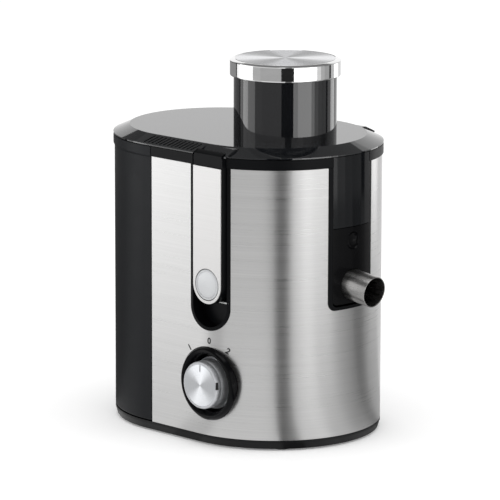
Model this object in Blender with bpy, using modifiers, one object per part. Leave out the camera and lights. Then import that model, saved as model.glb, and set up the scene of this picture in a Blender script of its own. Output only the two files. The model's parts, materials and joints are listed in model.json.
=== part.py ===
"""Centrifugal juicer: a steel-wrapped motor housing, a lift-out juice bowl with its sieve basket,
a lid with feed tube and pusher held by two side latches, and a slide-off pulp container.

Lengths below are in millimetres and become metres as each mesh is made. +X points to the juice
spout, -Y to the control knob and +Z up. Shapes are laid out about the spin axis, and the root empty then puts
the assembly's footprint centre at the world origin."""

import math

import bmesh
import bpy
from mathutils import Matrix, Vector

MM = 0.001
GAP = 0.3

# Footprint: two equal half circles joined by straight sides.
BODY_R = 89.0
FRONT_CX = -12.0
REAR_CX = -74.0
SEAM_X = -65.5
FRONT_ARC_STEPS = 36
REAR_ARC_STEPS = 24

# Heights of the stacked casings.
TRAY_BOTTOM = 1.5
TRAY_TOP = 8.5
WALL_TOP = 232.2
RIM_BOTTOM = 232.6
RIM_TOP = 240.7
LID_BOTTOM = 241.2
LID_SHOULDER = 242.2
LID_TOP = 248.2
DECK_BOTTOM = 108.0
DECK_TOP = 111.0
LID_INSET = 12.6
RIM_LIP = 1.0

# Housing and sheet walls.
SHEET = 0.8
SHELL_OUT = 1.1
SHELL_IN = 3.6
REAR_WALL = 2.5
BOSS_TOP = 18.0

# Feed tube, pusher and cap.
TUBE_R = 42.5
TUBE_BORE = 39.6
TUBE_LOW = 168.0
TUBE_HIGH = 297.2
CAP_BOTTOM = 297.7
CAP_BAND = 310.3
CAP_TOP = 311.5
CAP_R = 45.8
DISC_R = 42.6
PUSHER_R = 38.9
PUSHER_LOW = 172.0

# Juice bowl and its well.
WELL_R = 63.4
BOWL_R = 62.0
BOWL_WALL = 2.0
BOWL_LOW = 114.0
BOWL_FLOOR = 117.0
BOWL_TOP = 240.6
CHIMNEY_R = 17.5
CHIMNEY_TOP = 129.0
PULP_HALF = 40.0
PULP_SILL = 214.0

# Spout slot, panel and spout.
SLOT_HALF = 25.6
SLOT_INNER = 21.7
PANEL_HALF = 21.3
SLOT_LOW = 114.2
SLOT_SILL = 116.7
PANEL_SEAM = 181.8
PLATE_LOW = 118.5
PLATE_BACK = 70.0
SPOUT_R = 12.8
SPOUT_BORE = 12.0
SPOUT_X = 77.0
SPOUT_Z = 133.8
SPOUT_TILT = 7.5
SPOUT_TIP = 101.4
NECK_R = 11.5
NECK_BORE = 9.9
THUMB_Z = 170.1
THUMB_R = 7.5

# Basket and drive.
BASKET_LOW = 134.0
GRATER_Z = 141.0
CONE_LOW_R = 43.5
CONE_HIGH_R = 54.6
CONE_HIGH = 210.0
SHAFT_R = 4.0
COUPLING_R = 11.0

# Latches.
LATCH_FRAME_HALF = 19.6
LATCH_POCKET_HALF = 16.9
LATCH_ARM_HALF = 16.3
LATCH_INSERT_HALF = 15.8
LATCH_BUTTON_Z = 135.0
LATCH_POCKET_Z = 116.4
LATCH_FACE_Y = 89.5
LATCH_BACK_Y = 80.0
LATCH_POCKET_Y = 78.4
LATCH_FLOOR_Y = 76.8
LATCH_PIN_Y = 82.6
LATCH_PIN_Z = 121.2
LATCH_PIN_R = 1.5
HOOK_TOP = 245.2
HOOK_SLOPE = 0.70
BUTTON_R = 12.7
BUTTON_FACE_Y = 91.3

# Control knob.
KNOB_Z = 52.4
BEZEL_R = 30.5
KNOB_R = 19.5
KNOB_FACE_Y = 98.5

# Motor.
STATOR_HALF = 36.0
STATOR_LOW = 46.0
STATOR_HIGH = 76.0
COMMUTATOR_R = 10.5
BEARING_R = 10.8
BEARING_HEIGHT = 6.6

# Depths that a cutter runs between to go right through the casing's wall.
CUT_NEAR = 70.0
CUT_FAR = 95.0

# Cord gland.
GLAND_X = -46.0
GLAND_Z = 24.0
GLAND_R = 6.0

# The footprint runs from the lid's rear edge to the spout's tip, and from the knob's face to the
# rear latch's button.
SPOUT_REACH = SPOUT_TIP + SPOUT_R * math.sin(math.radians(SPOUT_TILT))
CENTRE_X = (REAR_CX - BODY_R - RIM_LIP + SPOUT_REACH) / 2
CENTRE_Y = (BUTTON_FACE_Y - KNOB_FACE_Y) / 2

PALETTE = {
    "black_plastic": ((0.018, 0.018, 0.02), 0.38, 0.0),
    "gloss_black": ((0.012, 0.012, 0.014), 0.12, 0.0),
    "smoked_clear": ((0.05, 0.05, 0.055), 0.08, 0.0),
    "brushed_steel": ((0.62, 0.61, 0.6), 0.32, 1.0),
    "bright_steel": ((0.75, 0.75, 0.75), 0.12, 1.0),
    "grey_plastic": ((0.45, 0.46, 0.47), 0.45, 0.0),
    "rubber": ((0.03, 0.03, 0.03), 0.85, 0.0),
    "silicone": ((0.6, 0.62, 0.63), 0.6, 0.0),
    "iron_stack": ((0.32, 0.32, 0.34), 0.5, 1.0),
    "copper": ((0.72, 0.35, 0.18), 0.35, 1.0),
    "zinc_steel": ((0.58, 0.58, 0.56), 0.35, 1.0),
    "nylon": ((0.78, 0.77, 0.72), 0.5, 0.0),
}


def clear_scene():
    for obj in list(bpy.data.objects):
        bpy.data.objects.remove(obj, do_unlink=True)


def make_material(node_name, palette_name):
    color, roughness, metallic = PALETTE[palette_name]
    material = bpy.data.materials.new(node_name)
    material.use_nodes = True
    shader = material.node_tree.nodes["Principled BSDF"]
    shader.inputs["Base Color"].default_value = (*color, 1.0)
    shader.inputs["Roughness"].default_value = roughness
    shader.inputs["Metallic"].default_value = metallic
    return material


# Outlines, each a list of (x, y) points running anticlockwise.


def arc(cx, cy, radius, start, end, steps):
    angles = [math.radians(start + (end - start) * i / steps) for i in range(steps + 1)]
    return [(cx + radius * math.cos(a), cy + radius * math.sin(a)) for a in angles]


def circle(radius, steps=48, cx=0.0, cy=0.0):
    return arc(cx, cy, radius, 0, 360, steps)[:-1]


def body_outline(offset):
    radius = BODY_R + offset
    front = arc(FRONT_CX, 0, radius, -90, 90, FRONT_ARC_STEPS)
    return front + arc(REAR_CX, 0, radius, 90, 270, REAR_ARC_STEPS)


def front_outline(offset, rear_x=SEAM_X):
    radius = BODY_R + offset
    front = arc(FRONT_CX, 0, radius, -90, 90, FRONT_ARC_STEPS)
    return [(rear_x, -radius)] + front + [(rear_x, radius)]


def rear_outline(offset, front_x):
    radius = BODY_R + offset
    rear = arc(REAR_CX, 0, radius, 90, 270, REAR_ARC_STEPS)
    return [(front_x, radius)] + rear + [(front_x, -radius)]


def sheet_outline(outer, inner):
    outside = front_outline(outer)
    return outside + front_outline(inner)[::-1]


def slot_outline(half, low, high, radius):
    """An upright U: flat top, rounded lower corners. Points are (across, up)."""
    left = arc(-half + radius, low + radius, radius, 180, 270, 8)
    right = arc(half - radius, low + radius, radius, 270, 360, 8)
    return left + right + [(half, high), (-half, high)]


# Solids.


def link(name, mesh):
    mesh.name = name
    obj = bpy.data.objects.new(name, mesh)
    bpy.context.scene.collection.objects.link(obj)
    return obj


def outward(obj):
    """Welds loose seams and turns every face outward."""
    form = bmesh.new()
    form.from_mesh(obj.data)
    bmesh.ops.remove_doubles(form, verts=form.verts, dist=1e-6)
    bmesh.ops.recalc_face_normals(form, faces=form.faces)
    form.to_mesh(obj.data)
    form.free()
    return obj


def evaluated(obj):
    """The object with its modifiers or its curve's shape made into a plain mesh."""
    graph = bpy.context.evaluated_depsgraph_get()
    mesh = bpy.data.meshes.new_from_object(obj.evaluated_get(graph))
    name = obj.name
    bpy.data.objects.remove(obj, do_unlink=True)
    return outward(link(name, mesh))


def loft(name, rings):
    """A solid skinned over rings of (x, y, z) points with equal counts, and capped at both ends."""
    count = len(rings[0])
    form = bmesh.new()
    rows = [[form.verts.new(Vector(point) * MM) for point in ring] for ring in rings]
    for lower, upper in zip(rows, rows[1:]):
        for j in range(count):
            k = (j + 1) % count
            form.faces.new((lower[j], lower[k], upper[k], upper[j]))
    form.faces.new(rows[0][::-1])
    form.faces.new(rows[-1])
    mesh = bpy.data.meshes.new(name)
    form.to_mesh(mesh)
    form.free()
    return outward(link(name, mesh))


def lift(outline, z):
    return [(x, y, z) for x, y in outline]


def prism(name, outline, low, high):
    """A flat outline, filled and extruded between two heights."""
    curve = bpy.data.curves.new(name, "CURVE")
    curve.dimensions = "2D"
    curve.fill_mode = "BOTH"
    curve.extrude = (high - low) / 2 * MM
    spline = curve.splines.new("POLY")
    spline.points.add(len(outline) - 1)
    spline.use_cyclic_u = True
    for point, (x, y) in zip(spline.points, outline):
        point.co = (x * MM, y * MM, 0, 1)
    obj = link(name, curve)
    return move_mesh(evaluated(obj), z=(low + high) / 2)


def cylinder(name, radius, low, high, x=0.0, y=0.0, steps=24):
    form = bmesh.new()
    bmesh.ops.create_cone(form, cap_ends=True, segments=steps, radius1=radius * MM,
                          radius2=radius * MM, depth=(high - low) * MM)
    mesh = bpy.data.meshes.new(name)
    form.to_mesh(mesh)
    form.free()
    return move_mesh(link(name, mesh), x, y, (low + high) / 2)


def turned(name, profile, steps=48, looped=False):
    """A profile of (radius, height) swept about Z; an unlooped profile ends on flat discs."""
    if not looped:
        profile = [(0, profile[0][1])] + profile + [(0, profile[-1][1])]
    mesh = bpy.data.meshes.new(name)
    points = [(radius * MM, 0, z * MM) for radius, z in profile]
    edges = [(i, i + 1) for i in range(len(points) - 1)]
    mesh.from_pydata(points, edges + ([(len(points) - 1, 0)] if looped else []), [])
    obj = link(name, mesh)
    screw = obj.modifiers.new("turn", "SCREW")
    screw.steps = screw.render_steps = steps
    screw.use_merge_vertices = True
    screw.merge_threshold = 1e-6
    return evaluated(obj)


def box(name, low, high):
    form = bmesh.new()
    bmesh.ops.create_cube(form, size=1.0)
    size = (Vector(high) - Vector(low)) * MM
    bmesh.ops.scale(form, vec=size, verts=form.verts)
    mesh = bpy.data.meshes.new(name)
    form.to_mesh(mesh)
    form.free()
    return move_mesh(link(name, mesh), *((Vector(high) + Vector(low)) / 2))


def turn_mesh(obj, axis, degrees, pivot=(0, 0, 0)):
    centre = Vector(pivot) * MM
    turn = Matrix.Rotation(math.radians(degrees), 4, axis)
    obj.data.transform(Matrix.Translation(centre) @ turn @ Matrix.Translation(-centre))
    return obj


def move_mesh(obj, x=0.0, y=0.0, z=0.0):
    obj.data.transform(Matrix.Translation(Vector((x, y, z)) * MM))
    return obj


def flip_y(obj):
    """The mirror image across the XZ plane, with its faces turned outward again."""
    obj.data.transform(Matrix.Scale(-1, 4, (0, 1, 0)))
    obj.data.flip_normals()
    return obj


def faced(name, outline, near, far, side):
    """A prism whose outline lies in the XZ plane, between depths near and far on the Y side."""
    obj = prism(name, [(x, -z) for x, z in outline], near, far)
    turn_mesh(obj, "X", -90)
    return flip_y(obj) if side < 0 else obj


def round_y(name, profile, z, side, steps=48):
    """A solid of revolution about a Y-parallel axis at x = 0; profile is (radius, |y|)."""
    obj = turned(name, profile, steps)
    turn_mesh(obj, "X", -90)
    move_mesh(obj, z=z)
    return flip_y(obj) if side < 0 else obj


def combine(obj, tool, operation):
    modifier = obj.modifiers.new(operation, "BOOLEAN")
    modifier.operation = operation
    modifier.solver = "EXACT"
    modifier.object = tool
    graph = bpy.context.evaluated_depsgraph_get()
    result = bpy.data.meshes.new_from_object(obj.evaluated_get(graph))
    obj.modifiers.remove(modifier)
    obj.data = result
    bpy.data.objects.remove(tool, do_unlink=True)
    return obj


def cut(obj, tool):
    return combine(obj, tool, "DIFFERENCE")


def join(obj, tool):
    return combine(obj, tool, "UNION")


def keep(obj, tool):
    return combine(obj, tool, "INTERSECT")


def smooth(obj, angle=38.0):
    form = bmesh.new()
    form.from_mesh(obj.data)
    for face in form.faces:
        face.smooth = True
    for edge in form.edges:
        edge.smooth = len(edge.link_faces) == 2 and edge.calc_face_angle() < math.radians(angle)
    form.to_mesh(obj.data)
    form.free()


def finish(obj, palette_name, origin=(0, 0, 0)):
    """Gives a piece its material, collection and parent, and its origin on its joint's axis."""
    obj.data.name = obj.name
    obj.data.materials.clear()
    obj.data.materials.append(make_material(obj.name, palette_name))
    smooth(obj)
    move_mesh(obj, -origin[0], -origin[1], -origin[2])
    obj.location = Vector(origin) * MM
    for collection in list(obj.users_collection):
        collection.objects.unlink(obj)
    parts.objects.link(obj)
    obj.parent = root
    return obj


# Cutters and outlines that several pieces share.


def latch_gap(side):
    half = LATCH_FRAME_HALF + GAP
    outline = slot_outline(half, LATCH_POCKET_Z - half, RIM_TOP, half - 0.01)
    return faced("latch_gap", outline, CUT_NEAR, CUT_FAR, side)


def bezel_gap():
    radius = BEZEL_R + GAP
    return round_y("bezel_gap", [(radius, CUT_NEAR), (radius, CUT_FAR)], KNOB_Z, -1)


def gland_gap():
    gap = cylinder("gland_gap", GLAND_R + 0.4, CUT_NEAR, CUT_FAR, steps=20)
    return move_mesh(turn_mesh(gap, "X", -90), x=GLAND_X, z=GLAND_Z)


def lobed(radius, depth=2.2, steps=36, lobes=6):
    """A round outline with shallow flats between its lobes."""
    outline = []
    for i in range(steps):
        angle = 2 * math.pi * i / steps
        reach = radius if i % lobes < lobes / 2 else radius - depth
        outline.append((reach * math.cos(angle), reach * math.sin(angle)))
    return outline


# Base.


def make_base():
    tray = loft("base_tray", [
        lift(body_outline(-1.6), TRAY_BOTTOM),
        lift(body_outline(0.0), TRAY_TOP - 1.5),
        lift(body_outline(0.0), TRAY_TOP),
    ])
    cut(tray, prism("pocket", front_outline(-3.2, -62.0), 4.2, 12))
    cut(tray, prism("hollow", rear_outline(-5.0, -72.0), 0, 6.0))
    for x, y in foot_places():
        cut(tray, cylinder("recess", 8.4, 0, 3.0, x, y, 12))
    for x, y in screw_places():
        cut(tray, cylinder("counterbore", 3.6, 0, 2.9, x, y, 10))
        cut(tray, cylinder("hole", 1.9, 0, 6, x, y, 10))
    for row in range(-2, 3):
        cut(tray, box("vent", (-26, row * 12 - 2.4, 0), (26, row * 12 + 2.4, 8)))
    finish(tray, "black_plastic")
    for number, (x, y) in enumerate(foot_places(), 1):
        foot = loft(f"foot_{number}", [
            lift(circle(7.2, 12, x, y), 0),
            lift(circle(8.0, 12, x, y), 0.8),
            lift(circle(8.0, 12, x, y), 2.7),
        ])
        finish(foot, "rubber")
    for number, (x, y) in enumerate(screw_places(), 1):
        screw = loft(f"base_screw_{number}", [
            lift(circle(3.3, 10, x, y), 1.7),
            lift(circle(3.3, 10, x, y), 2.6),
            lift(circle(1.55, 10, x, y), 2.6),
            lift(circle(1.55, 10, x, y), 13.0),
        ])
        cut(screw, box("drive", (x - 2.4, y - 0.5, 1), (x + 2.4, y + 0.5, 2.1)))
        finish(screw, "zinc_steel")


def foot_places():
    return [(46, -50), (46, 50), (-118, -52), (-118, 52)]


def screw_places():
    return [(20, -72), (20, 72), (-52, -72), (-52, 72)]


# Housing.


def make_housing():
    inner = front_outline(-SHELL_IN, SEAM_X + REAR_WALL)
    outer = front_outline(-SHELL_OUT)
    low = TRAY_TOP + GAP
    shell = loft("housing_shell", [
        lift(inner, DECK_BOTTOM), lift(inner, low), lift(outer, low),
        lift(outer, WALL_TOP), lift(inner, WALL_TOP), lift(inner, DECK_TOP),
    ])
    for side in (-1, 1):
        cut(shell, latch_gap(side))
    cut(shell, box("slot_gap", (60, -SLOT_HALF + 3, SLOT_LOW - GAP), (90, SLOT_HALF - 3, 250)))
    cut(shell, box("slot_rebate", (73.6, -SLOT_HALF - GAP, SLOT_LOW - GAP),
                   (90, SLOT_HALF + GAP, 250)))
    cut(shell, box("pulp_gap", (-70, -PULP_HALF, PULP_SILL), (-60, PULP_HALF, 250)))
    cut(shell, cylinder("drive_gap", 14.0, 100, 120))
    cut(shell, bezel_gap())
    cut(shell, gland_gap())
    for x, y in screw_places():
        boss = cylinder("boss", 4.2, low, BOSS_TOP, x, y, 10)
        wall_y = math.copysign(BODY_R - 2.5, y)
        join(boss, box("web", (x - 1.2, min(y, wall_y), low), (x + 1.2, max(y, wall_y), BOSS_TOP)))
        inside = front_outline(-SHELL_OUT - 0.6, SEAM_X + 0.6)
        join(shell, keep(boss, prism("inside", inside, 0, 30)))
        cut(shell, cylinder("pilot", 1.7, 0, BOSS_TOP - 4, x, y, 10))
    for x, y in mount_places():
        cut(shell, cylinder("mount_hole", 3.4, 100, 120, x, y, 10))
    finish(shell, "black_plastic")

    wrap = loft("steel_wrap", [
        lift(sheet_outline(0, -SHEET), low), lift(sheet_outline(0, -SHEET), WALL_TOP),
    ])
    for side in (-1, 1):
        cut(wrap, latch_gap(side))
    slot = slot_outline(SLOT_HALF + GAP, SLOT_LOW - GAP, 250, 7.0)
    cut(wrap, turn_mesh(faced("slot_gap", slot, 60, CUT_FAR, 1), "Z", -90))
    cut(wrap, bezel_gap())
    cut(wrap, gland_gap())
    finish(wrap, "brushed_steel")

    rim = prism("rim_band", front_outline(RIM_LIP), RIM_BOTTOM, RIM_TOP)
    cut(rim, cylinder("well", WELL_R, 220, 250, steps=56))
    cut(rim, box("slot_gap", (40, -SLOT_INNER, 220), (95, SLOT_INNER, 250)))
    for side in (-1, 1):
        notch = [(-LATCH_POCKET_HALF, 220), (LATCH_POCKET_HALF, 220),
                 (LATCH_POCKET_HALF, 250), (-LATCH_POCKET_HALF, 250)]
        cut(rim, faced("latch_gap", notch, LATCH_BACK_Y - 0.8, CUT_FAR, side))
    finish(rim, "black_plastic")

    gland = turned("cord_gland", [
        (3.4, 74), (GLAND_R, 74), (GLAND_R, 89.3), (8.0, 89.4), (7.0, 91.0), (3.4, 91.0),
    ], 16, looped=True)
    finish(move_mesh(turn_mesh(gland, "X", -90), x=GLAND_X, z=GLAND_Z), "rubber")


def make_slot_frame():
    outer = slot_outline(SLOT_HALF, SLOT_LOW, WALL_TOP, 7.0)
    frame = turn_mesh(faced("slot_frame", outer, 73.9, CUT_FAR, 1), "Z", -90)
    inner = slot_outline(SLOT_INNER, SLOT_SILL, 250, 4.0)
    cut(frame, turn_mesh(faced("gap", inner, 60, CUT_FAR + 4, 1), "Z", -90))
    keep(frame, prism("flush", front_outline(0.5), 100, 240))
    cut(frame, box("step", (60, -40, 100), (70.6, 40, 240)))
    finish(frame, "black_plastic")


def make_latch_frame(name, side):
    outer = slot_outline(LATCH_FRAME_HALF, LATCH_POCKET_Z - LATCH_FRAME_HALF, WALL_TOP,
                         LATCH_FRAME_HALF - 0.01)
    frame = faced(name, outer, LATCH_FLOOR_Y, CUT_FAR, side)
    keep(frame, prism("flush", front_outline(0.4), 80, 240))
    inner = slot_outline(LATCH_POCKET_HALF, LATCH_POCKET_Z - LATCH_POCKET_HALF, 250,
                         LATCH_POCKET_HALF - 0.01)
    cut(frame, faced("pocket", inner, LATCH_POCKET_Y, CUT_FAR + 4, side))
    pin_gap = turned("pin_gap", [(LATCH_PIN_R + 0.02, -18.6), (LATCH_PIN_R + 0.02, 18.6)], 16)
    cut(frame, move_mesh(turn_mesh(pin_gap, "Y", 90), y=side * LATCH_PIN_Y, z=LATCH_PIN_Z))
    finish(frame, "black_plastic")
    pin = turned(name.replace("latch_frame", "latch_pin"),
                 [(LATCH_PIN_R - 0.05, -18.4), (LATCH_PIN_R - 0.05, 18.4)], 16)
    turn_mesh(pin, "Y", 90)
    finish(move_mesh(pin, y=side * LATCH_PIN_Y, z=LATCH_PIN_Z), "zinc_steel")


# Latches. Each swings outward on its low cross pin.


def ramp_y(z, clearance):
    """Depth of the sloped face that the lid and the hook share, at height z."""
    return 86.4 + clearance - (z - LID_BOTTOM) * HOOK_SLOPE


def make_latch(suffix, side):
    origin = (0, side * LATCH_PIN_Y, LATCH_PIN_Z)
    low = LATCH_BUTTON_Z - LATCH_ARM_HALF
    outline = slot_outline(LATCH_ARM_HALF, low, RIM_TOP - 0.2, LATCH_ARM_HALF - 0.01)
    arm = faced(f"latch_arm_{suffix}", outline, LATCH_BACK_Y, LATCH_FACE_Y, side)
    head_low = RIM_TOP - 1.2
    head = [(LATCH_FACE_Y, head_low), (LATCH_FACE_Y, HOOK_TOP - 1.5),
            (LATCH_FACE_Y - 1.5, HOOK_TOP), (ramp_y(HOOK_TOP, 0.5), HOOK_TOP),
            (ramp_y(head_low, 0.5), head_low)]
    hook = loft("hook", [[(-15.5, y * side, z) for y, z in head],
                          [(15.5, y * side, z) for y, z in head]])
    join(arm, hook)
    cut(arm, round_y("bore", [(9.4, 80.8), (9.4, 84.4), (BUTTON_R + 0.4, 84.4),
                              (BUTTON_R + 0.4, CUT_FAR)], LATCH_BUTTON_Z, side, 28))
    pin_gap = turned("pin_gap", [(LATCH_PIN_R + 0.1, -20), (LATCH_PIN_R + 0.1, 20)], 16)
    cut(arm, move_mesh(turn_mesh(pin_gap, "Y", 90), y=side * LATCH_PIN_Y, z=LATCH_PIN_Z))
    finish(arm, "black_plastic", origin)

    low = LATCH_BUTTON_Z - LATCH_INSERT_HALF
    outline = slot_outline(LATCH_INSERT_HALF, low, WALL_TOP, LATCH_INSERT_HALF - 0.01)
    insert = faced(f"latch_insert_{suffix}", outline, LATCH_FACE_Y + 0.2, LATCH_FACE_Y + 1.1, side)
    cut(insert, round_y("bore", [(BUTTON_R + 0.5, 80), (BUTTON_R + 0.5, CUT_FAR)],
                        LATCH_BUTTON_Z, side, 28))
    finish(insert, "brushed_steel", origin)

    button = round_y(f"latch_button_{suffix}", [
        (9.0, 83.6), (9.0, 87.2), (BUTTON_R, 87.2), (BUTTON_R, 90.4), (BUTTON_R - 0.8, 91.1),
        (BUTTON_R - 2.0, BUTTON_FACE_Y),
    ], LATCH_BUTTON_Z, side, 28)
    finish(button, "grey_plastic", (0, side * 88, LATCH_BUTTON_Z))


# Control knob and switch.


def make_controls():
    bezel = round_y("knob_bezel", [
        (5.0, 78.2), (BEZEL_R, 78.2), (BEZEL_R, 89.4), (29.4, 91.6), (27.6, 92.4), (25.8, 91.6),
        (23.6, 86.0), (23.0, 80.2), (5.0, 80.2),
    ][::-1], KNOB_Z, -1, 40)
    cut(bezel, round_y("bore", [(4.6, CUT_NEAR), (4.6, CUT_FAR)], KNOB_Z, -1, 24))
    finish(bezel, "gloss_black")

    origin = (0, -KNOB_FACE_Y + 10, KNOB_Z)
    knob = round_y("control_knob", [
        (21.6, 82.0), (21.6, 83.6), (20.4, 84.4), (KNOB_R + 0.4, 88.0), (KNOB_R, 97.6),
        (KNOB_R - 0.9, KNOB_FACE_Y),
    ], KNOB_Z, -1, 40)
    cut(knob, round_y("bore", [(3.02, 80), (3.02, 93.0)], KNOB_Z, -1, 20))
    finish(knob, "bright_steel", origin)

    shaft = round_y("switch_shaft", [(2.95, 66.0), (2.95, 92.7)], KNOB_Z, -1, 20)
    finish(shaft, "nylon", origin)

    switch = box("rotary_switch", (-14, -77.6, KNOB_Z - 14), (14, -60.0, KNOB_Z + 14))
    cut(switch, round_y("bore", [(3.1, 65.7), (3.1, 80)], KNOB_Z, -1, 20))
    for x in (-9.0, 0.0, 9.0):
        join(switch, box("terminal", (x - 2.4, -61, KNOB_Z - 5), (x + 2.4, -53, KNOB_Z - 4.2)))
    finish(switch, "grey_plastic")

    sensor = box("safety_switch", (-10, -76.4, 212), (10, -70.5, 223))
    join(sensor, box("terminal", (-6.4, -74, 206), (-5.6, -71.4, 213)))
    join(sensor, box("terminal", (5.6, -74, 206), (6.4, -71.4, 213)))
    join(sensor, box("lever", (-9, -74, 222.5), (7, -72, 224.2)))
    finish(sensor, "grey_plastic")


# Motor and drive.


def mount_places():
    return [(30, -30), (30, 30), (-30, -30), (-30, 30)]


def make_motor():
    half = STATOR_HALF
    corners = [(half - 8, half - 8, 0), (-half + 8, half - 8, 90), (-half + 8, -half + 8, 180),
               (half - 8, -half + 8, 270)]
    outline = [p for cx, cy, a in corners for p in arc(cx, cy, 8, a, a + 90, 5)]
    stator = prism("motor_stator", outline, STATOR_LOW, STATOR_HIGH)
    cut(stator, cylinder("bore", 22.6, 40, 90, steps=40))
    for side in (-1, 1):
        cut(stator, box("window", (-17, min(side * 20, side * 29), 40),
                        (17, max(side * 20, side * 29), 90)))
    finish(stator, "iron_stack")

    for label, side in (("front", -1), ("back", 1)):
        outer = [(-16.4, STATOR_LOW - 9), (16.4, STATOR_LOW - 9), (16.4, STATOR_HIGH + 9),
                 (-16.4, STATOR_HIGH + 9)]
        coil = faced(f"field_coil_{label}", outer, 23.4, 28.4, side)
        finish(coil, "copper")

    rotor = turned("motor_rotor", [
        (4.25, STATOR_LOW - 5), (14.0, STATOR_LOW - 5), (18.0, STATOR_LOW), (22.0, STATOR_LOW),
        (22.0, STATOR_HIGH), (18.0, STATOR_HIGH), (14.0, STATOR_HIGH + 5), (4.25, STATOR_HIGH + 5),
    ], 24, looped=True)
    finish(rotor, "iron_stack")

    commutator = turned("commutator", [
        (4.25, 25.0), (COMMUTATOR_R, 25.0), (COMMUTATOR_R, 37.0), (12.0, 37.0), (12.0, 39.0),
        (4.25, 39.0),
    ], 20, looped=True)
    finish(commutator, "copper")

    shaft = turned("motor_shaft", [
        (SHAFT_R - 0.6, 13.0), (SHAFT_R, 13.6), (SHAFT_R, 122.0), (SHAFT_R - 0.6, 122.6),
    ], 24)
    finish(shaft, "zinc_steel")

    fan = turned("motor_fan", [(SHAFT_R + 0.25, 88.0), (9.0, 88.0), (9.0, 94.6), (31.0, 94.6),
                               (31.0, 96.2), (SHAFT_R + 0.25, 96.2)], 24, looped=True)
    for blade in range(9):
        fin = box("fin", (8.0, -0.8, 87.6), (30.0, 0.8, 95.2))
        join(fan, turn_mesh(fin, "Z", blade * 40))
    finish(fan, "nylon")

    for label, low in (("lower", 15.0), ("upper", 99.4)):
        high = low + BEARING_HEIGHT
        bearing = turned(f"bearing_{label}", [
            (SHAFT_R + 0.1, low), (BEARING_R, low), (BEARING_R, high), (SHAFT_R + 0.1, high),
        ], 20, looped=True)
        finish(bearing, "bright_steel")

    lower = make_bracket("bracket_lower", (13.2, 22.0), (13.2, 16.4), (13.7, STATOR_LOW - 0.3))
    cut(lower, cylinder("cup", BEARING_R + 0.3, 14.7, 30, steps=20))
    cut(lower, cylinder("bore", 6.0, 10, 30, steps=12))
    finish(lower, "zinc_steel")
    upper = make_bracket("bracket_upper", (98.2, 106.3), (99.0, 102.2),
                         (STATOR_HIGH + 0.3, 101.7))
    cut(upper, cylinder("cup", BEARING_R + 0.3, 99.1, 108, steps=20))
    cut(upper, cylinder("bore", 6.0, 90, 110, steps=12))
    finish(upper, "zinc_steel")

    for label, side in (("front", -1), ("back", 1)):
        near, far = sorted((side * (COMMUTATOR_R + 0.4), side * 25))
        holder = box(f"brush_{label}", (-4, near, 27), (4, far, 36))
        finish(holder, "copper")

    for number, (x, y) in enumerate(mount_places(), 1):
        mount = loft(f"motor_mount_{number}", [
            lift(circle(6.0, 10, x, y), 102.6), lift(circle(6.0, 10, x, y), 107.7),
            lift(circle(3.0, 10, x, y), 107.7), lift(circle(3.0, 10, x, y), 111.3),
            lift(circle(5.0, 10, x, y), 111.3), lift(circle(4.4, 10, x, y), 112.6),
        ])
        finish(mount, "rubber")


def make_bracket(name, cup, bar, leg):
    """A cross strap with a bearing cup in its middle and a leg at each corner of the stator."""
    bracket = cylinder(name, BEARING_R + 3.2, *cup, steps=20)
    for angle in (45, 135):
        join(bracket, turn_mesh(box("arm", (-46, -5, bar[0]), (46, 5, bar[1])), "Z", angle))
    for x, y in mount_places():
        join(bracket, cylinder("leg", 4.6, *leg, x, y, 8))
    return bracket


def make_drive():
    outline = lobed(COUPLING_R)
    coupling = loft("drive_coupling", [lift(outline, 108.2), lift(outline, 131.0)])
    cut(coupling, cylinder("bore", SHAFT_R + 0.02, 100, 123.0, steps=24))
    finish(coupling, "nylon")
    seal = turned("deck_seal", [(14.6, 111.3), (22.0, 111.3), (22.0, 113.0), (20.0, 113.7),
                                (14.6, 113.7)], 28, looped=True)
    finish(seal, "silicone")


# Basket: it turns with the drive coupling inside the juice bowl.


def make_basket():
    hub = turned("basket_hub", [
        (20.0, 121.5), (22.0, 121.5), (22.0, BASKET_LOW - 1), (CONE_LOW_R - 3, BASKET_LOW - 1),
        (CONE_LOW_R + 0.6, BASKET_LOW + 2), (CONE_LOW_R + 0.6, GRATER_Z - 1.4),
        (CONE_LOW_R - 2.6, GRATER_Z - 1.4), (20.0, GRATER_Z - 1.4),
    ], 40)
    cut(hub, cylinder("collar", 19.4, 110, BASKET_LOW, steps=28))
    join(hub, cylinder("boss", 14.6, 122.5, BASKET_LOW + 3, steps=24))
    outline = lobed(COUPLING_R + 0.4)
    cut(hub, loft("socket", [lift(outline, 110), lift(outline, 131.6)]))
    finish(hub, "black_plastic")

    disc = turned("grating_disc", [
        (CONE_LOW_R - 3.2, GRATER_Z - 1.0), (CONE_LOW_R - 3.2, GRATER_Z), (12.0, GRATER_Z),
        (10.0, GRATER_Z + 3.0),
    ], 40)
    finish(disc, "brushed_steel")

    cone = turned("sieve_cone", [
        (CONE_LOW_R - 2.9, GRATER_Z - 1.0), (CONE_LOW_R + 0.4, GRATER_Z - 1.0),
        (CONE_HIGH_R, CONE_HIGH), (CONE_HIGH_R - 0.9, CONE_HIGH),
        (CONE_LOW_R - 0.6, GRATER_Z + 0.1), (CONE_LOW_R - 2.9, GRATER_Z + 0.1),
    ], 40, looped=True)
    finish(cone, "bright_steel")

    rim = turned("basket_rim", [
        (CONE_HIGH_R + 0.3, CONE_HIGH - 3.6), (CONE_HIGH_R + 1.8, CONE_HIGH - 3.6),
        (CONE_HIGH_R + 2.2, CONE_HIGH + 4), (CONE_HIGH_R + 4.0, CONE_HIGH + 5),
        (CONE_HIGH_R + 4.0, CONE_HIGH + 7), (CONE_HIGH_R + 1.2, CONE_HIGH + 7),
        (CONE_HIGH_R - 0.6, CONE_HIGH + 0.4), (CONE_HIGH_R + 0.45, CONE_HIGH + 0.4),
    ], 40, looped=True)
    finish(rim, "black_plastic")


# Juice bowl, spout plate and spout.


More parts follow.
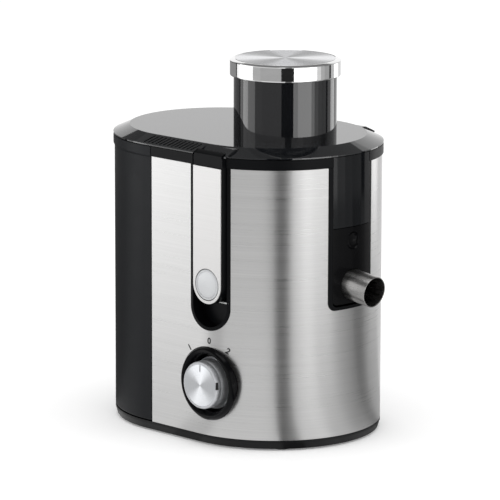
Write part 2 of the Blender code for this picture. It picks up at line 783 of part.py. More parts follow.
def spout_frame(obj):
    """Turns a piece built along +Z onto the spout's axis."""
    turn_mesh(obj, "Y", 90 + SPOUT_TILT)
    return move_mesh(obj, x=SPOUT_X, z=SPOUT_Z)


def make_bowl():
    bowl = turned("juice_bowl", [
        (CHIMNEY_R - BOWL_WALL, BOWL_LOW), (BOWL_R - 1.5, BOWL_LOW), (BOWL_R, BOWL_LOW + 1.5),
        (BOWL_R, BOWL_TOP), (BOWL_R - BOWL_WALL, BOWL_TOP),
        (BOWL_R - BOWL_WALL, BOWL_FLOOR + 1.0), (BOWL_R - BOWL_WALL - 1.5, BOWL_FLOOR),
        (CHIMNEY_R, BOWL_FLOOR), (CHIMNEY_R, CHIMNEY_TOP), (CHIMNEY_R - BOWL_WALL, CHIMNEY_TOP),
    ], 56, looped=True)
    panel = box("panel", (BOWL_R - 1.4, -PANEL_HALF, PANEL_SEAM + 0.2), (CUT_FAR, PANEL_HALF, BOWL_TOP))
    keep(panel, prism("flush", front_outline(0.7), 100, 250))
    cut(panel, cylinder("bowl_gap", BOWL_R - 1.0, 100, 260, steps=56))
    join(bowl, panel)
    neck = spout_frame(turned("neck", [(NECK_R, -24), (NECK_R, -4.0)], 28))
    join(bowl, cut(neck, cylinder("bowl_gap", BOWL_R - 0.8, 100, 160, steps=40)))
    cut(bowl, spout_frame(turned("bore", [(NECK_BORE, -30), (NECK_BORE, 10)], 28)))
    cut(bowl, box("pulp_gap", (-70, -PULP_HALF, PULP_SILL + 8), (-30, PULP_HALF, 250)))
    finish(bowl, "smoked_clear")

    outline = slot_outline(PANEL_HALF, PLATE_LOW, PANEL_SEAM - 0.3, 4.2)
    plate = turn_mesh(faced("spout_plate", outline, PLATE_BACK, CUT_FAR, 1), "Z", -90)
    keep(plate, prism("flush", front_outline(0.7), 100, 250))
    cut(plate, spout_frame(turned("bore", [(SPOUT_R + 0.2, -40), (SPOUT_R + 0.2, 20)], 32)))
    thumb = turned("thumb", [(4.0, 0), (THUMB_R, 3.0), (THUMB_R + 0.4, 6.0)], 28)
    cut(plate, move_mesh(turn_mesh(thumb, "Y", 90), x=75.2, z=THUMB_Z))
    axis = (SPOUT_X, 0, SPOUT_Z)
    finish(plate, "gloss_black", axis)

    length = (SPOUT_TIP - SPOUT_X) / math.cos(math.radians(SPOUT_TILT))
    spout = spout_frame(turned("spout_tube", [
        (SPOUT_BORE, -11.6), (SPOUT_R + 1.6, -11.6), (SPOUT_R + 1.6, -10.4), (SPOUT_R, -10.4),
        (SPOUT_R, length), (SPOUT_BORE, length),
    ], 32, looped=True))
    finish(spout, "bright_steel", axis)


# Lid with feed tube, seal, pusher and cap.


def make_lid():
    lid = loft("lid_cover", [
        lift(body_outline(-LID_INSET - 1.2), LID_TOP - 2.6),
        lift(body_outline(-2.0), LID_BOTTOM),
        lift(body_outline(RIM_LIP), LID_BOTTOM),
        lift(body_outline(RIM_LIP), LID_SHOULDER),
        lift(body_outline(-LID_INSET), LID_TOP),
    ])
    tube = turned("tube", [
        (TUBE_R - 1.2, TUBE_LOW), (TUBE_R - 0.2, LID_BOTTOM), (TUBE_R + 2.0, LID_TOP - 0.6),
        (TUBE_R + 0.5, LID_TOP + 1.2), (TUBE_R, LID_TOP + 3.2), (TUBE_R, TUBE_HIGH),
    ], 48)
    join(lid, tube)
    skirt = turned("skirt", [(57.0, 229.0), (59.2, 229.0), (59.6, LID_TOP - 1.2),
                             (56.6, LID_TOP - 1.2)], 48, looped=True)
    cut(skirt, box("pulp_gap", (-70, -PULP_HALF - 2, 200), (-30, PULP_HALF + 2, LID_TOP - 2.2)))
    join(lid, skirt)
    for side in (-1, 1):
        ramp = [(72.0, LID_BOTTOM), (ramp_y(LID_BOTTOM, 0), LID_BOTTOM),
                (ramp_y(LID_TOP - 1.0, 0), LID_TOP - 1.0), (72.0, LID_TOP - 1.0)]
        cheek = [(72.0, LID_BOTTOM), (88.0, LID_BOTTOM), (88.0, LID_SHOULDER),
                 (77.0, LID_TOP - 1.0), (72.0, LID_TOP - 1.0)]
        join(lid, loft("cheek", [[(-19.0, y * side, z) for y, z in cheek],
                                  [(19.0, y * side, z) for y, z in cheek]]))
        top = LID_TOP + 4
        scoop = [(ramp_y(LID_BOTTOM - 2, 0), LID_BOTTOM - 2), (99.0, LID_BOTTOM - 2),
                 (99.0, top), (ramp_y(top, 0), top)]
        cut(lid, loft("scoop", [[(-16.6, y * side, z) for y, z in scoop],
                                 [(16.6, y * side, z) for y, z in scoop]]))
    cut(lid, cylinder("bore", TUBE_BORE, 160, 300, steps=48))
    finish(lid, "smoked_clear")

    seal = turned("lid_seal", [(53.6, 240.0), (56.3, 240.0), (56.3, LID_TOP - 3.0),
                               (53.6, LID_TOP - 3.0)], 40, looped=True)
    finish(seal, "silicone")


def make_pusher():
    body = turned("pusher_body", [
        (PUSHER_R - 2.6, PUSHER_LOW + 3.0), (PUSHER_R - 2.6, 303.4), (PUSHER_R - 0.2, 303.4),
        (PUSHER_R, 296.0), (PUSHER_R, PUSHER_LOW + 1.5), (PUSHER_R - 1.5, PUSHER_LOW),
    ], 40)
    finish(body, "black_plastic")
    cap = turned("pusher_cap", [
        (PUSHER_R + 0.2, CAP_BAND - 2.4), (PUSHER_R + 0.4, CAP_BOTTOM), (CAP_R - 0.6, CAP_BOTTOM),
        (CAP_R, CAP_BOTTOM + 0.8), (CAP_R, CAP_BAND), (DISC_R + 0.9, CAP_TOP - 0.6),
        (DISC_R, CAP_TOP),
    ], 48)
    finish(cap, "bright_steel")


def make_container():
    low, front = TRAY_TOP + GAP, SEAM_X - 0.6
    container = loft("pulp_container", [
        lift(rear_outline(-1.0, front), low),
        lift(rear_outline(0.0, front), low + 1.2),
        lift(rear_outline(0.0, front), RIM_BOTTOM - 1.0),
        lift(rear_outline(RIM_LIP, front), RIM_BOTTOM),
        lift(rear_outline(RIM_LIP, front), RIM_TOP),
        lift(rear_outline(-1.6, front - 2.5), RIM_TOP),
        lift(rear_outline(-2.5, front - 2.5), low + 3.0),
    ])
    cut(container, box("pulp_gap", (-72, -PULP_HALF, PULP_SILL), (-60, PULP_HALF, 250)))
    finish(container, "black_plastic", (-110, 0, 0))


clear_scene()
parts = bpy.data.collections.new("centrifugal_juicer")
bpy.context.scene.collection.children.link(parts)
root = bpy.data.objects.new("assembly", None)
root.location = Vector((-CENTRE_X, -CENTRE_Y, 0)) * MM
parts.objects.link(root)

make_base()
make_housing()
make_slot_frame()
for latch_suffix, latch_side in (("front", -1), ("back", 1)):
    make_latch_frame(f"latch_frame_{latch_suffix}", latch_side)
    make_latch(latch_suffix, latch_side)
make_controls()
make_motor()
make_drive()
make_basket()
make_bowl()
make_lid()
make_pusher()
make_container()
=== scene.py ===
"""Looks of the centrifugal juicer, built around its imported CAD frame.

Lengths are in millimetres from the spin axis, as on the CAD part, and each finished mesh is put in
the row frame in metres."""

import json
import math

import bmesh
import bpy
from mathutils import Matrix, Vector

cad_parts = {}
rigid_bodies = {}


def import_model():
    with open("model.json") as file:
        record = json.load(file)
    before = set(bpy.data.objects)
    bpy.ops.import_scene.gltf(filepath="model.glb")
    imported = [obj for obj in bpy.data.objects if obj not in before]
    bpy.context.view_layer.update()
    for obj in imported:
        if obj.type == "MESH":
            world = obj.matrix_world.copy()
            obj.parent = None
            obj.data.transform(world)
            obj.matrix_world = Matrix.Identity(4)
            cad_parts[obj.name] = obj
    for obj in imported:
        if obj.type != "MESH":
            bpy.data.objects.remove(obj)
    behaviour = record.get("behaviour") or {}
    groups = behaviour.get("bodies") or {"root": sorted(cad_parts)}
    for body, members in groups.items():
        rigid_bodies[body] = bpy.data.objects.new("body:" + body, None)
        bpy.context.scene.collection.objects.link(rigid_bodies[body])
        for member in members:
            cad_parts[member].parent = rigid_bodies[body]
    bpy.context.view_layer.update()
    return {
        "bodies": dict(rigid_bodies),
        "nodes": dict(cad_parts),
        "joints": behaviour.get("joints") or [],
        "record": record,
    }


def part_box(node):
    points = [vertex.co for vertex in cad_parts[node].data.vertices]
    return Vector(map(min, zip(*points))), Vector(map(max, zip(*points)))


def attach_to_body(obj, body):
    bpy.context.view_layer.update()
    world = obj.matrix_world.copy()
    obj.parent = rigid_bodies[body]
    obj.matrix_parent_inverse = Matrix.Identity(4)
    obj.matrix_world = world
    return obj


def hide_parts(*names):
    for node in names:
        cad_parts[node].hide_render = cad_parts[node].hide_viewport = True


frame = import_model()

MM = 0.001
shaft_low, shaft_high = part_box("motor_shaft")
AXIS = Vector(((shaft_low.x + shaft_high.x) / 2, (shaft_low.y + shaft_high.y) / 2, 0))


def span(node_name):
    """Lowest and highest corner of a CAD node in millimetres from the spin axis."""
    low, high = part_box(node_name)
    return (low - AXIS) / MM, (high - AXIS) / MM


wrap_low, wrap_high = span("steel_wrap")
tray_low, tray_high = span("base_tray")
rim_low, rim_high = span("rim_band")
lid_low, lid_high = span("lid_cover")
bin_low, bin_high = span("pulp_container")
cap_low, cap_high = span("pusher_cap")
body_low, body_high = span("pusher_body")
bowl_low, bowl_high = span("juice_bowl")
slot_low, slot_high = span("slot_frame")
plate_low, plate_high = span("spout_plate")
spout_high = span("spout_tube")[1]
knob_low, knob_high = span("control_knob")
bezel_low, bezel_high = span("knob_bezel")
frame_low, frame_high = span("latch_frame_front")
arm_low, arm_high = span("latch_arm_front")
insert_low, insert_high = span("latch_insert_front")
button_low, button_high = span("latch_button_front")
cone_low, cone_high = span("sieve_cone")
disc_high = span("grating_disc")[1]
gland_low, gland_high = span("cord_gland")

BODY_R = wrap_high.y
FRONT_CX = wrap_high.x - BODY_R
LIP = rim_high.y - BODY_R
REAR_CX = bin_low.x + BODY_R + LIP
SEAM_X = wrap_low.x
SHEET = 0.8
GAP = 0.3
WELL_R = 63.4
VENT_PITCH = 12.0

# Depths and heights where cutters start and end, clear of what they cut.
INSIDE = 70.0
OUTSIDE = 95.0
BELOW_RIM = 220.0
ABOVE = 260.0

# Points along each half circle and round each circle.
ARC_STEPS = 150
ROUND = 128

# Lid and feed tube.
LID_BOTTOM = rim_high.z + 0.5
LID_SHOULDER = LID_BOTTOM + 1.0
LID_TOP = LID_SHOULDER + 6.0
LID_INSET = 12.6
TUBE_R = 42.5
TUBE_BORE = 39.6
SKIRT_LOW = 229.0
RIB_COUNT = 13
RIB_PITCH = 4.5
RIB_START = -76.0

# Pusher.
PUSHER_R = 38.9
PUSHER_BORE = 36.3
CAP_DISC_R = 41.3
CAP_BAND_TOP = cap_high.z - 1.2

# Slot, panel, spout.
SLOT_HALF = slot_high.y
SLOT_INNER = SLOT_HALF - 3.9
PANEL_HALF = plate_high.y
PANEL_SEAM = plate_high.z + 0.3
SPOUT_X = 77.0
SPOUT_Z = 133.8
SPOUT_TILT = 7.5
SPOUT_R = 12.8
SPOUT_BORE = 12.0
THUMB_Z = 170.1
THUMB_R = 7.5
FLANGE_R = SPOUT_R + 1.6
BOWL_R = 62.0
BOWL_FLOOR = 117.0
PANEL_PROUD = 0.7

# Latches.
FRAME_HALF = frame_high.x
POCKET_HALF = FRAME_HALF - 2.7
POCKET_Z = frame_low.z + FRAME_HALF
ARM_HALF = arm_high.x
INSERT_HALF = insert_high.x
BUTTON_Z = (button_low.z + button_high.z) / 2
BUTTON_R = (button_high.z - button_low.z) / 2
BUTTON_FACE = -button_low.y
ARM_FACE = -arm_low.y
HOOK_TOP = arm_high.z
RIM_TOP_CUT = rim_high.z - 0.2
HOOK_SLOPE = 0.70
HOOK_FOOT = 86.4
HEAD_HALF = 15.5
SCOOP_HALF = 16.6
HOLLOW_HALF = 12.5
FRAME_BACK = 76.8
POCKET_BACK = 78.4
ARM_BACK = 80.0
PIN_Y = 82.6
PIN_Z = 121.2

# Basket.
DISC_EDGE = 43.5
TOOTH_RINGS = 7

# Knob.
KNOB_Z = (knob_low.z + knob_high.z) / 2
KNOB_FACE = -knob_low.y
KNOB_R = 19.5
BEZEL_R = bezel_high.x
BEZEL_CREST = -bezel_low.y
BEZEL_EDGE = BEZEL_CREST - 4.2
BEZEL_FOOT = 83.2
BEZEL_TAPER = 5.0
SHAFT_R = 3.02
NOTCH_Z = KNOB_Z + 2.3

# Dial marks: the digit, its angle from the top and its distance from the knob's axis.
DIGITS = (("1", 38.0, 34.2), ("0", -0.6, 35.5), ("2", -31.4, 34.0))
DIGIT_SIZE = 6.9
DIGIT_BOLD = 0.24
PRINT_PROUD = 0.06


# Outlines of (x, y) points, anticlockwise.


def arc(cx, cy, radius, start, end, steps):
    turns = [math.radians(start + (end - start) * i / steps) for i in range(steps + 1)]
    return [(cx + radius * math.cos(a), cy + radius * math.sin(a)) for a in turns]


def circle(radius, steps=ROUND, cx=0.0, cy=0.0):
    return arc(cx, cy, radius, 0, 360, steps)[:-1]


def body_outline(offset):
    radius = BODY_R + offset
    front = arc(FRONT_CX, 0, radius, -90, 90, ARC_STEPS)
    return front + arc(REAR_CX, 0, radius, 90, 270, ARC_STEPS)


def front_outline(offset, rear_x=SEAM_X):
    radius = BODY_R + offset
    return ([(rear_x, -radius)] + arc(FRONT_CX, 0, radius, -90, 90, ARC_STEPS)
            + [(rear_x, radius)])


def rear_outline(offset, front_x):
    radius = BODY_R + offset
    return ([(front_x, radius)] + arc(REAR_CX, 0, radius, 90, 270, ARC_STEPS)
            + [(front_x, -radius)])


def slot_outline(half, low, high, radius, steps=32):
    """An upright U: flat top, rounded lower corners. Points are (across, up)."""
    left = arc(-half + radius, low + radius, radius, 180, 270, steps)
    right = arc(half - radius, low + radius, radius, 270, 360, steps)
    return left + right + [(half, high), (-half, high)]


def lift(outline, z):
    return [(x, y, z) for x, y in outline]



def new_object(form):
    bmesh.ops.remove_doubles(form, verts=form.verts, dist=1e-4)
    bmesh.ops.recalc_face_normals(form, faces=form.faces)
    mesh = bpy.data.meshes.new("tool")
    form.to_mesh(mesh)
    form.free()
    made = bpy.data.objects.new("tool", mesh)
    bpy.context.scene.collection.objects.link(made)
    return made


def loft(rings, looped=False):
    count = len(rings[0])
    form = bmesh.new()
    rows = [[form.verts.new(point) for point in ring] for ring in rings]
    for lower, upper in zip(rows, rows[1:] + ([rows[0]] if looped else [])):
        for j in range(count):
            k = (j + 1) % count
            form.faces.new((lower[j], lower[k], upper[k], upper[j]))
    if not looped:
        form.faces.new(rows[0][::-1])
        form.faces.new(rows[-1])
    return new_object(form)


def prism(outline, low, high):
    return loft([lift(outline, low), lift(outline, high)])


def turned(profile, steps=ROUND, looped=False):
    """A profile of (radius, height) swept about Z. Looped profiles leave a hole along the axis."""
    rings = [lift(circle(radius, steps), z) for radius, z in profile]
    return loft(rings, looped)


def cylinder(radius, low, high, x=0.0, y=0.0, steps=64):
    outline = circle(radius, steps, x, y)
    return prism(outline, low, high)


def box(low, high):
    (x0, y0, z0), (x1, y1, z1) = low, high
    return prism([(x0, y0), (x1, y0), (x1, y1), (x0, y1)], z0, z1)


def turn(obj, axis, degrees):
    obj.data.transform(Matrix.Rotation(math.radians(degrees), 4, axis))
    return obj


def move(obj, x=0.0, y=0.0, z=0.0):
    obj.data.transform(Matrix.Translation(Vector((x, y, z))))
    return obj


def flip_y(obj):
    obj.data.transform(Matrix.Scale(-1, 4, (0, 1, 0)))
    obj.data.flip_normals()
    return obj


def faced(outline, near, far, side):
    """A prism whose outline lies in the XZ plane, between depths near and far on one Y side."""
    obj = turn(prism([(x, -z) for x, z in outline], near, far), "X", -90)
    return flip_y(obj) if side < 0 else obj


def across(outline, half, side):
    """A prism of (y, z) points on one Y side, from -half to half along X."""
    return loft([[(x, y * side, z) for y, z in outline] for x in (-half, half)])


def round_y(profile, z, side, looped=False):
    """A profile of (radius, depth) swept about a Y axis at height z, on one Y side."""
    obj = move(turn(turned(profile, ROUND, looped), "X", -90), z=z)
    return flip_y(obj) if side < 0 else obj


def combine(obj, tool, operation):
    modifier = obj.modifiers.new("boolean", "BOOLEAN")
    modifier.operation = operation
    modifier.solver = "EXACT"
    modifier.object = tool
    graph = bpy.context.evaluated_depsgraph_get()
    result = bpy.data.meshes.new_from_object(obj.evaluated_get(graph))
    obj.modifiers.remove(modifier)
    obj.data = result
    bpy.data.objects.remove(tool)
    return obj


def cut(obj, tool):
    return combine(obj, tool, "DIFFERENCE")


def join(obj, tool):
    return combine(obj, tool, "UNION")


def keep(obj, tool):
    return combine(obj, tool, "INTERSECT")


def attach(obj, others):
    """Adds closed shells that need no Boolean, such as rows of ribs or teeth."""
    form = bmesh.new()
    form.from_mesh(obj.data)
    for other in others:
        form.from_mesh(other.data)
        bpy.data.objects.remove(other)
    form.to_mesh(obj.data)
    form.free()
    return obj


def finish(obj, name, material, body, replaced=(), bevel=0.35, sharp=35.0):
    """Puts a mesh in the row frame, rounds its edges, gives it its body and material, and hides the
    CAD nodes it replaces.
    """
    obj.name = obj.data.name = name
    obj.data.transform(Matrix.Translation(AXIS) @ Matrix.Scale(MM, 4))
    obj.data.materials.clear()
    obj.data.materials.append(material)
    obj.data.shade_smooth()
    obj.data.set_sharp_from_angle(angle=math.radians(sharp))
    if bevel:
        rounding = obj.modifiers.new("rounding", "BEVEL")
        rounding.width = bevel * MM
        rounding.segments = 3
        rounding.limit_method = "ANGLE"
        rounding.angle_limit = math.radians(sharp)
        rounding.harden_normals = True
        rounding.use_clamp_overlap = True
    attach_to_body(obj, body)
    if replaced:
        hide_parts(*replaced)


# Materials. Object coordinates are the row frame's metres on every piece.


def node(tree, kind, settings=None, **inputs):
    made = tree.nodes.new(kind)
    for key, value in (settings or {}).items():
        setattr(made, key, value)
    for key, value in inputs.items():
        socket = made.inputs[key.replace("_", " ")]
        if isinstance(value, bpy.types.NodeSocket):
            tree.links.new(value, socket)
        else:
            socket.default_value = value
    return made


def new_material(name, metallic=0.0, **sockets):
    material = bpy.data.materials.new(name)
    material.use_nodes = True
    shader = material.node_tree.nodes["Principled BSDF"]
    shader.inputs["Metallic"].default_value = metallic
    for key, value in sockets.items():
        shader.inputs[key.replace("_", " ")].default_value = value
    return material, material.node_tree, shader


def scaled_place(tree, scale):
    place = node(tree, "ShaderNodeTexCoord").outputs["Object"]
    return node(tree, "ShaderNodeMapping", Vector=place, Scale=scale).outputs["Vector"]


def noise(tree, scale, detail=4.0, roughness=0.6):
    """Noise stretched by a scale per axis, in cycles per metre."""
    made = node(tree, "ShaderNodeTexNoise", Vector=scaled_place(tree, scale), Scale=1.0,
                Detail=detail, Roughness=roughness)
    return made.outputs["Fac"]


def spread(tree, value, low, high, start=0.3, end=0.7):
    made = node(tree, "ShaderNodeMapRange", Value=value)
    for key, number in zip(("From Min", "From Max", "To Min", "To Max"),
                           (start, end, low, high)):
        made.inputs[key].default_value = number
    return made.outputs["Result"]


def tinted(tree, value, dark, light):
    made = node(tree, "ShaderNodeMix", {"data_type": "RGBA"})
    tree.links.new(value, made.inputs["Factor"])
    made.inputs[6].default_value = (*dark, 1)
    made.inputs[7].default_value = (*light, 1)
    return made.outputs[2]


def dress(tree, shader, color, roughness, bump, strength, depth):
    """Links a colour, a roughness and a height to the shader."""
    tree.links.new(color, shader.inputs["Base Color"])
    tree.links.new(roughness, shader.inputs["Roughness"])
    relief = node(tree, "ShaderNodeBump", Height=bump, Strength=strength, Distance=depth)
    tree.links.new(relief.outputs["Normal"], shader.inputs["Normal"])


def shade(color, factor):
    return tuple(min(1.0, c * factor) for c in color)


def average(tree, first, second, share=0.5):
    made = node(tree, "ShaderNodeMix")
    made.inputs["Factor"].default_value = share
    tree.links.new(first, made.inputs[2])
    tree.links.new(second, made.inputs[3])
    return made.outputs[0]


def reckon(tree, operation, *values, vectors=False):
    """Outputs of a maths node whose inputs are linked or set in turn."""
    kind = "ShaderNodeVectorMath" if vectors else "ShaderNodeMath"
    made = node(tree, kind, {"operation": operation})
    for socket, value in zip(made.inputs, values):
        if isinstance(value, bpy.types.NodeSocket):
            tree.links.new(value, socket)
        else:
            socket.default_value = value
    return made.outputs


def from_centre(tree, centre):
    """Object coordinates measured from a point."""
    place = node(tree, "ShaderNodeTexCoord").outputs["Object"]
    return reckon(tree, "SUBTRACT", place, centre, vectors=True)[0]


def toned(tree, value, color, darker, lighter):
    """A colour that drifts between a darker and a lighter shade of itself."""
    return tinted(tree, spread(tree, value, 0, 1), shade(color, darker), shade(color, lighter))


def groove(tree, shader, axis):
    tangent = node(tree, "ShaderNodeTangent", {"direction_type": "RADIAL", "axis": axis})
    tree.links.new(tangent.outputs["Tangent"], shader.inputs["Tangent"])


def brushed(name, color, rough, scale, aniso=0.7, contrast=0.10, strength=0.18):
    """Sheet metal with straight brush strokes; scale is high across the strokes."""
    material, tree, shader = new_material(name, 1.0, Anisotropic=aniso, Anisotropic_Rotation=0.25)
    fine = noise(tree, scale, 3.0, 0.75)
    broad = noise(tree, tuple(s * 0.12 for s in scale), 2.0)
    both = average(tree, fine, broad, 0.35)
    dress(tree, shader, toned(tree, both, color, 1 - contrast, 1 + contrast),
          spread(tree, both, rough - 0.05, rough + 0.06), fine, strength, 0.00004)
    groove(tree, shader, "Z")
    return material


def painted_highlight_wedges(tree, flat, axis, wedges, turned_by, depth):
    """Painted highlight: light and dark wedges of tone round an axis, standing in for the bow-tie of
    reflections on circular brushing, from 0.5 - depth to 0.5 + depth.
    """
    parts = node(tree, "ShaderNodeSeparateXYZ", Vector=flat)
    first, second = [parts.outputs[a] for a in "XYZ" if a != axis]
    angle = reckon(tree, "ARCTAN2", second, first)[0]
    phase = reckon(tree, "MULTIPLY_ADD", angle, wedges, -wedges * math.radians(turned_by))[0]
    wave = reckon(tree, "COSINE", phase)[0]
    return reckon(tree, "MULTIPLY_ADD", wave, depth, 0.5)[0]


def ringed(name, color, rough, centre, axis, aniso=0.85, contrast=0.07, wedges=None):
    """Metal brushed in circles about an axis; wedges are a count, an angle and a depth of painted
    highlight, light and dark sectors baked into the colour.
    """
    material, tree, shader = new_material(name, 1.0, Anisotropic=aniso, Anisotropic_Rotation=0.25)
    kept_axes = [0.0 if a == axis else 1.0 for a in "XYZ"]
    flat = reckon(tree, "MULTIPLY", from_centre(tree, centre), kept_axes, vectors=True)[0]
    radius = reckon(tree, "LENGTH", flat, vectors=True)["Value"]
    rings = node(tree, "ShaderNodeTexNoise", {"noise_dimensions": "1D"}, W=radius,
                 Scale=RING_PITCH, Detail=3.0, Roughness=0.7).outputs["Fac"]
    # Mixes the brush rings with the painted highlight wedges, when they are given.
    tone = average(tree, rings, painted_highlight_wedges(tree, flat, axis, *wedges), 0.75) if wedges else rings
    dress(tree, shader, toned(tree, tone, color, 1 - contrast, 1 + contrast),
          spread(tree, rings, rough - 0.04, rough + 0.05), rings, 0.12, 0.00003)
    groove(tree, shader, axis)
    return material


def moulded(name, color, rough, grain, strength, specular, **sockets):
    """Moulded plastic or rubber: fine grain, slow drift in tone and gloss."""
    material, tree, shader = new_material(name, Specular_IOR_Level=specular, **sockets)
    fine = noise(tree, (grain, grain, grain), 2.0)
    slow = noise(tree, (14, 14, 22), 3.0)
    smear = noise(tree, (55, 55, 90), 4.0)
    dress(tree, shader, toned(tree, slow, color, 0.88, 1.14),
          spread(tree, average(tree, slow, smear), rough - 0.04, rough + 0.05), fine, strength,
          0.00006)
    return material


def polished(name, color, rough, metallic=1.0):
    """Chrome or bright steel: nearly even, with faint wipe marks in its gloss."""
    material, tree, shader = new_material(name, metallic)
    wipe = noise(tree, (60, 60, 240), 5.0)
    fine = noise(tree, (1800, 1800, 700), 2.0)
    dress(tree, shader, toned(tree, wipe, color, 0.96, 1.03),
          spread(tree, wipe, rough * 0.7, rough * 1.4), fine, 0.02, 0.00002)
    return material


def smoked(name, color, rough, transmission, specular):
    """Tinted clear plastic with a faint drift in tone and fine flow marks."""
    material, tree, shader = new_material(name, Transmission_Weight=transmission, IOR=1.5,
                                          Specular_IOR_Level=specular)
    flow = noise(tree, (25, 25, 70), 4.0)
    dust = noise(tree, (500, 500, 500), 3.0)
    dress(tree, shader, toned(tree, flow, color, 0.9, 1.08),
          spread(tree, dust, rough, rough + 0.02), flow, 0.01, 0.0002)
    return material


def banded(name, dark, light, rough, axis, pitch):
    """Close parallel metal bands along one axis: sheet stacks and wire windings."""
    material, tree, shader = new_material(name, 1.0)
    wave = node(tree, "ShaderNodeTexWave", {"bands_direction": axis},
                Vector=scaled_place(tree, (1, 1, 1)), Scale=pitch, Distortion=0.4, Detail=1.0)
    grime = noise(tree, (90, 90, 90), 4.0)
    fac = average(tree, wave.outputs["Fac"], grime, 0.3)
    dress(tree, shader, tinted(tree, spread(tree, fac, 0, 1, 0.1, 0.9), dark, light),
          spread(tree, grime, rough - 0.06, rough + 0.1), wave.outputs["Fac"], 0.5, 0.0002)
    return material


def sieve_mesh(name, color, rough):
    """Perforated sheet: rows of small holes about the spin axis, not cut through but coloured near
    black as painted shade, with a dent in the height.
    """
    material, tree, shader = new_material(name, 1.0)
    parts = node(tree, "ShaderNodeSeparateXYZ", Vector=from_centre(tree, AXIS))
    angle = reckon(tree, "ARCTAN2", parts.outputs["Y"], parts.outputs["X"])[0]
    grid = node(tree, "ShaderNodeCombineXYZ", X=angle, Y=parts.outputs["Z"])
    cells = node(tree, "ShaderNodeMapping", Vector=grid.outputs[0], Scale=(38.2, 760.0, 1.0))
    dots = node(tree, "ShaderNodeTexVoronoi", Vector=cells.outputs[0], Scale=1.0, Randomness=0.0)
    hole_shade_mask = spread(tree, dots.outputs["Distance"], 0, 1, 0.26, 0.34)
    # Near-black dots are painted shade standing in for the open holes.
    dress(tree, shader, tinted(tree, hole_shade_mask, (0.01, 0.01, 0.01), color),
          spread(tree, hole_shade_mask, 0.7, rough, 0, 1), hole_shade_mask, 0.6, 0.0003)
    return material


RING_PITCH = 3800.0
STEEL = brushed("brushed_steel", (0.58, 0.578, 0.575), 0.30, (9, 9, 1500), 0.78, 0.09, 0.10)
SATIN = brushed("satin_insert", (0.60, 0.595, 0.59), 0.36, (14, 14, 1500), 0.5, 0.05, 0.12)
PLASTIC = moulded("black_casing", (0.0025, 0.0028, 0.0035), 0.34, 1100, 0.10, 0.09)
CONTAINER = moulded("container_casing", (0.0045, 0.0054, 0.0072), 0.42, 900, 0.16, 0.16)
TRAY = moulded("tray_casing", (0.006, 0.006, 0.0065), 0.40, 900, 0.16, 0.18)
GLOSS = moulded("gloss_black", (0.0015, 0.0015, 0.002), 0.16, 1400, 0.03, 0.12)
PANEL = smoked("smoked_bowl", (0.006, 0.007, 0.009), 0.06, 0.5, 0.1)
LID = smoked("smoked_lid", (0.010, 0.011, 0.013), 0.03, 0.4, 0.9)
CHROME = polished("cap_chrome", (0.78, 0.78, 0.78), 0.05)
SPOUT = polished("spout_steel", (0.36, 0.355, 0.35), 0.24)
# The cap disc and the knob face carry painted highlight wedges: light and dark sectors in their
# colour, turned to where the reflections fell.
CAP_TOP = ringed("cap_disc", (0.46, 0.462, 0.475), 0.26, AXIS, "Z", 0.9, 0.32,
                 wedges=(4, 44.0, 0.4))
KNOB_CENTRE = AXIS + Vector((0, 0, KNOB_Z * MM))
KNOB_TOP = ringed("knob_disc", (0.76, 0.775, 0.80), 0.30, KNOB_CENTRE, "Y", 0.92, 0.22,
                  wedges=(2, 96.0, 0.4))
KNOB_SIDE = polished("knob_skirt", (0.60, 0.61, 0.63), 0.42, 0.8)
BUTTON = moulded("button_silver", (0.56, 0.57, 0.58), 0.36, 1300, 0.06, 0.5, Metallic=0.35)
MARKING = moulded("printed_marks", (0.02, 0.02, 0.02), 0.5, 1500, 0.05, 0.3)
SIEVE = sieve_mesh("sieve_sheet", (0.62, 0.62, 0.62), 0.25)
GRATER = ringed("grater_steel", (0.62, 0.62, 0.62), 0.26, AXIS, "Z")
RUBBER = moulded("rubber", (0.022, 0.022, 0.022), 0.75, 700, 0.3, 0.3)
SILICONE = moulded("silicone", (0.50, 0.53, 0.55), 0.5, 600, 0.12, 0.4)
ZINC = brushed("zinc_steel", (0.56, 0.57, 0.56), 0.3, (700, 90, 90), 0.2)
COPPER = banded("copper_winding", (0.40, 0.15, 0.06), (0.80, 0.40, 0.20), 0.3, "Z", 330.0)
IRON = banded("iron_sheets", (0.16, 0.16, 0.17), (0.36, 0.36, 0.38), 0.45, "Z", 400.0)
NYLON = moulded("nylon", (0.62, 0.60, 0.53), 0.45, 800, 0.12, 0.4)
SWITCH = moulded("switch_casing", (0.26, 0.27, 0.29), 0.45, 900, 0.12, 0.4)
BRASS = banded("commutator_bars", (0.35, 0.16, 0.07), (0.78, 0.45, 0.22), 0.3, "X", 160.0)


# Casing.


def latch_gap(side, half, low, high, near, far=OUTSIDE):
    return faced(slot_outline(half, low, high, half - 0.01), near, far, side)


def bezel_gap():
    """Tapered like the hidden foot of the bezel, so that the gap round it stays narrow."""
    wide = BEZEL_R + GAP
    narrow = wide - BEZEL_TAPER
    return round_y([(narrow, INSIDE), (narrow, BEZEL_FOOT), (wide, BEZEL_EDGE), (wide, OUTSIDE)],
                   KNOB_Z, -1)


def gland_gap():
    gap = turn(cylinder(6.4, INSIDE, OUTSIDE), "X", -90)
    return move(gap, x=(gland_low.x + gland_high.x) / 2, z=(gland_low.z + gland_high.z) / 2)


def facing_x(outline, near, far):
    return turn(faced(outline, near, far, 1), "Z", -90)


def make_wrap():
    outline = front_outline(0) + front_outline(-SHEET)[::-1]
    wrap = prism(outline, wrap_low.z, wrap_high.z)
    half = FRAME_HALF + GAP
    for side in (-1, 1):
        cut(wrap, latch_gap(side, half, POCKET_Z - half, ABOVE, INSIDE))
    slot = slot_outline(SLOT_HALF + GAP, slot_low.z - GAP, ABOVE, 7.0)
    cut(wrap, facing_x(slot, 60, OUTSIDE))
    cut(wrap, bezel_gap())
    cut(wrap, gland_gap())
    finish(wrap, "wrap_sheet", STEEL, "housing", ["steel_wrap"], 0.2)


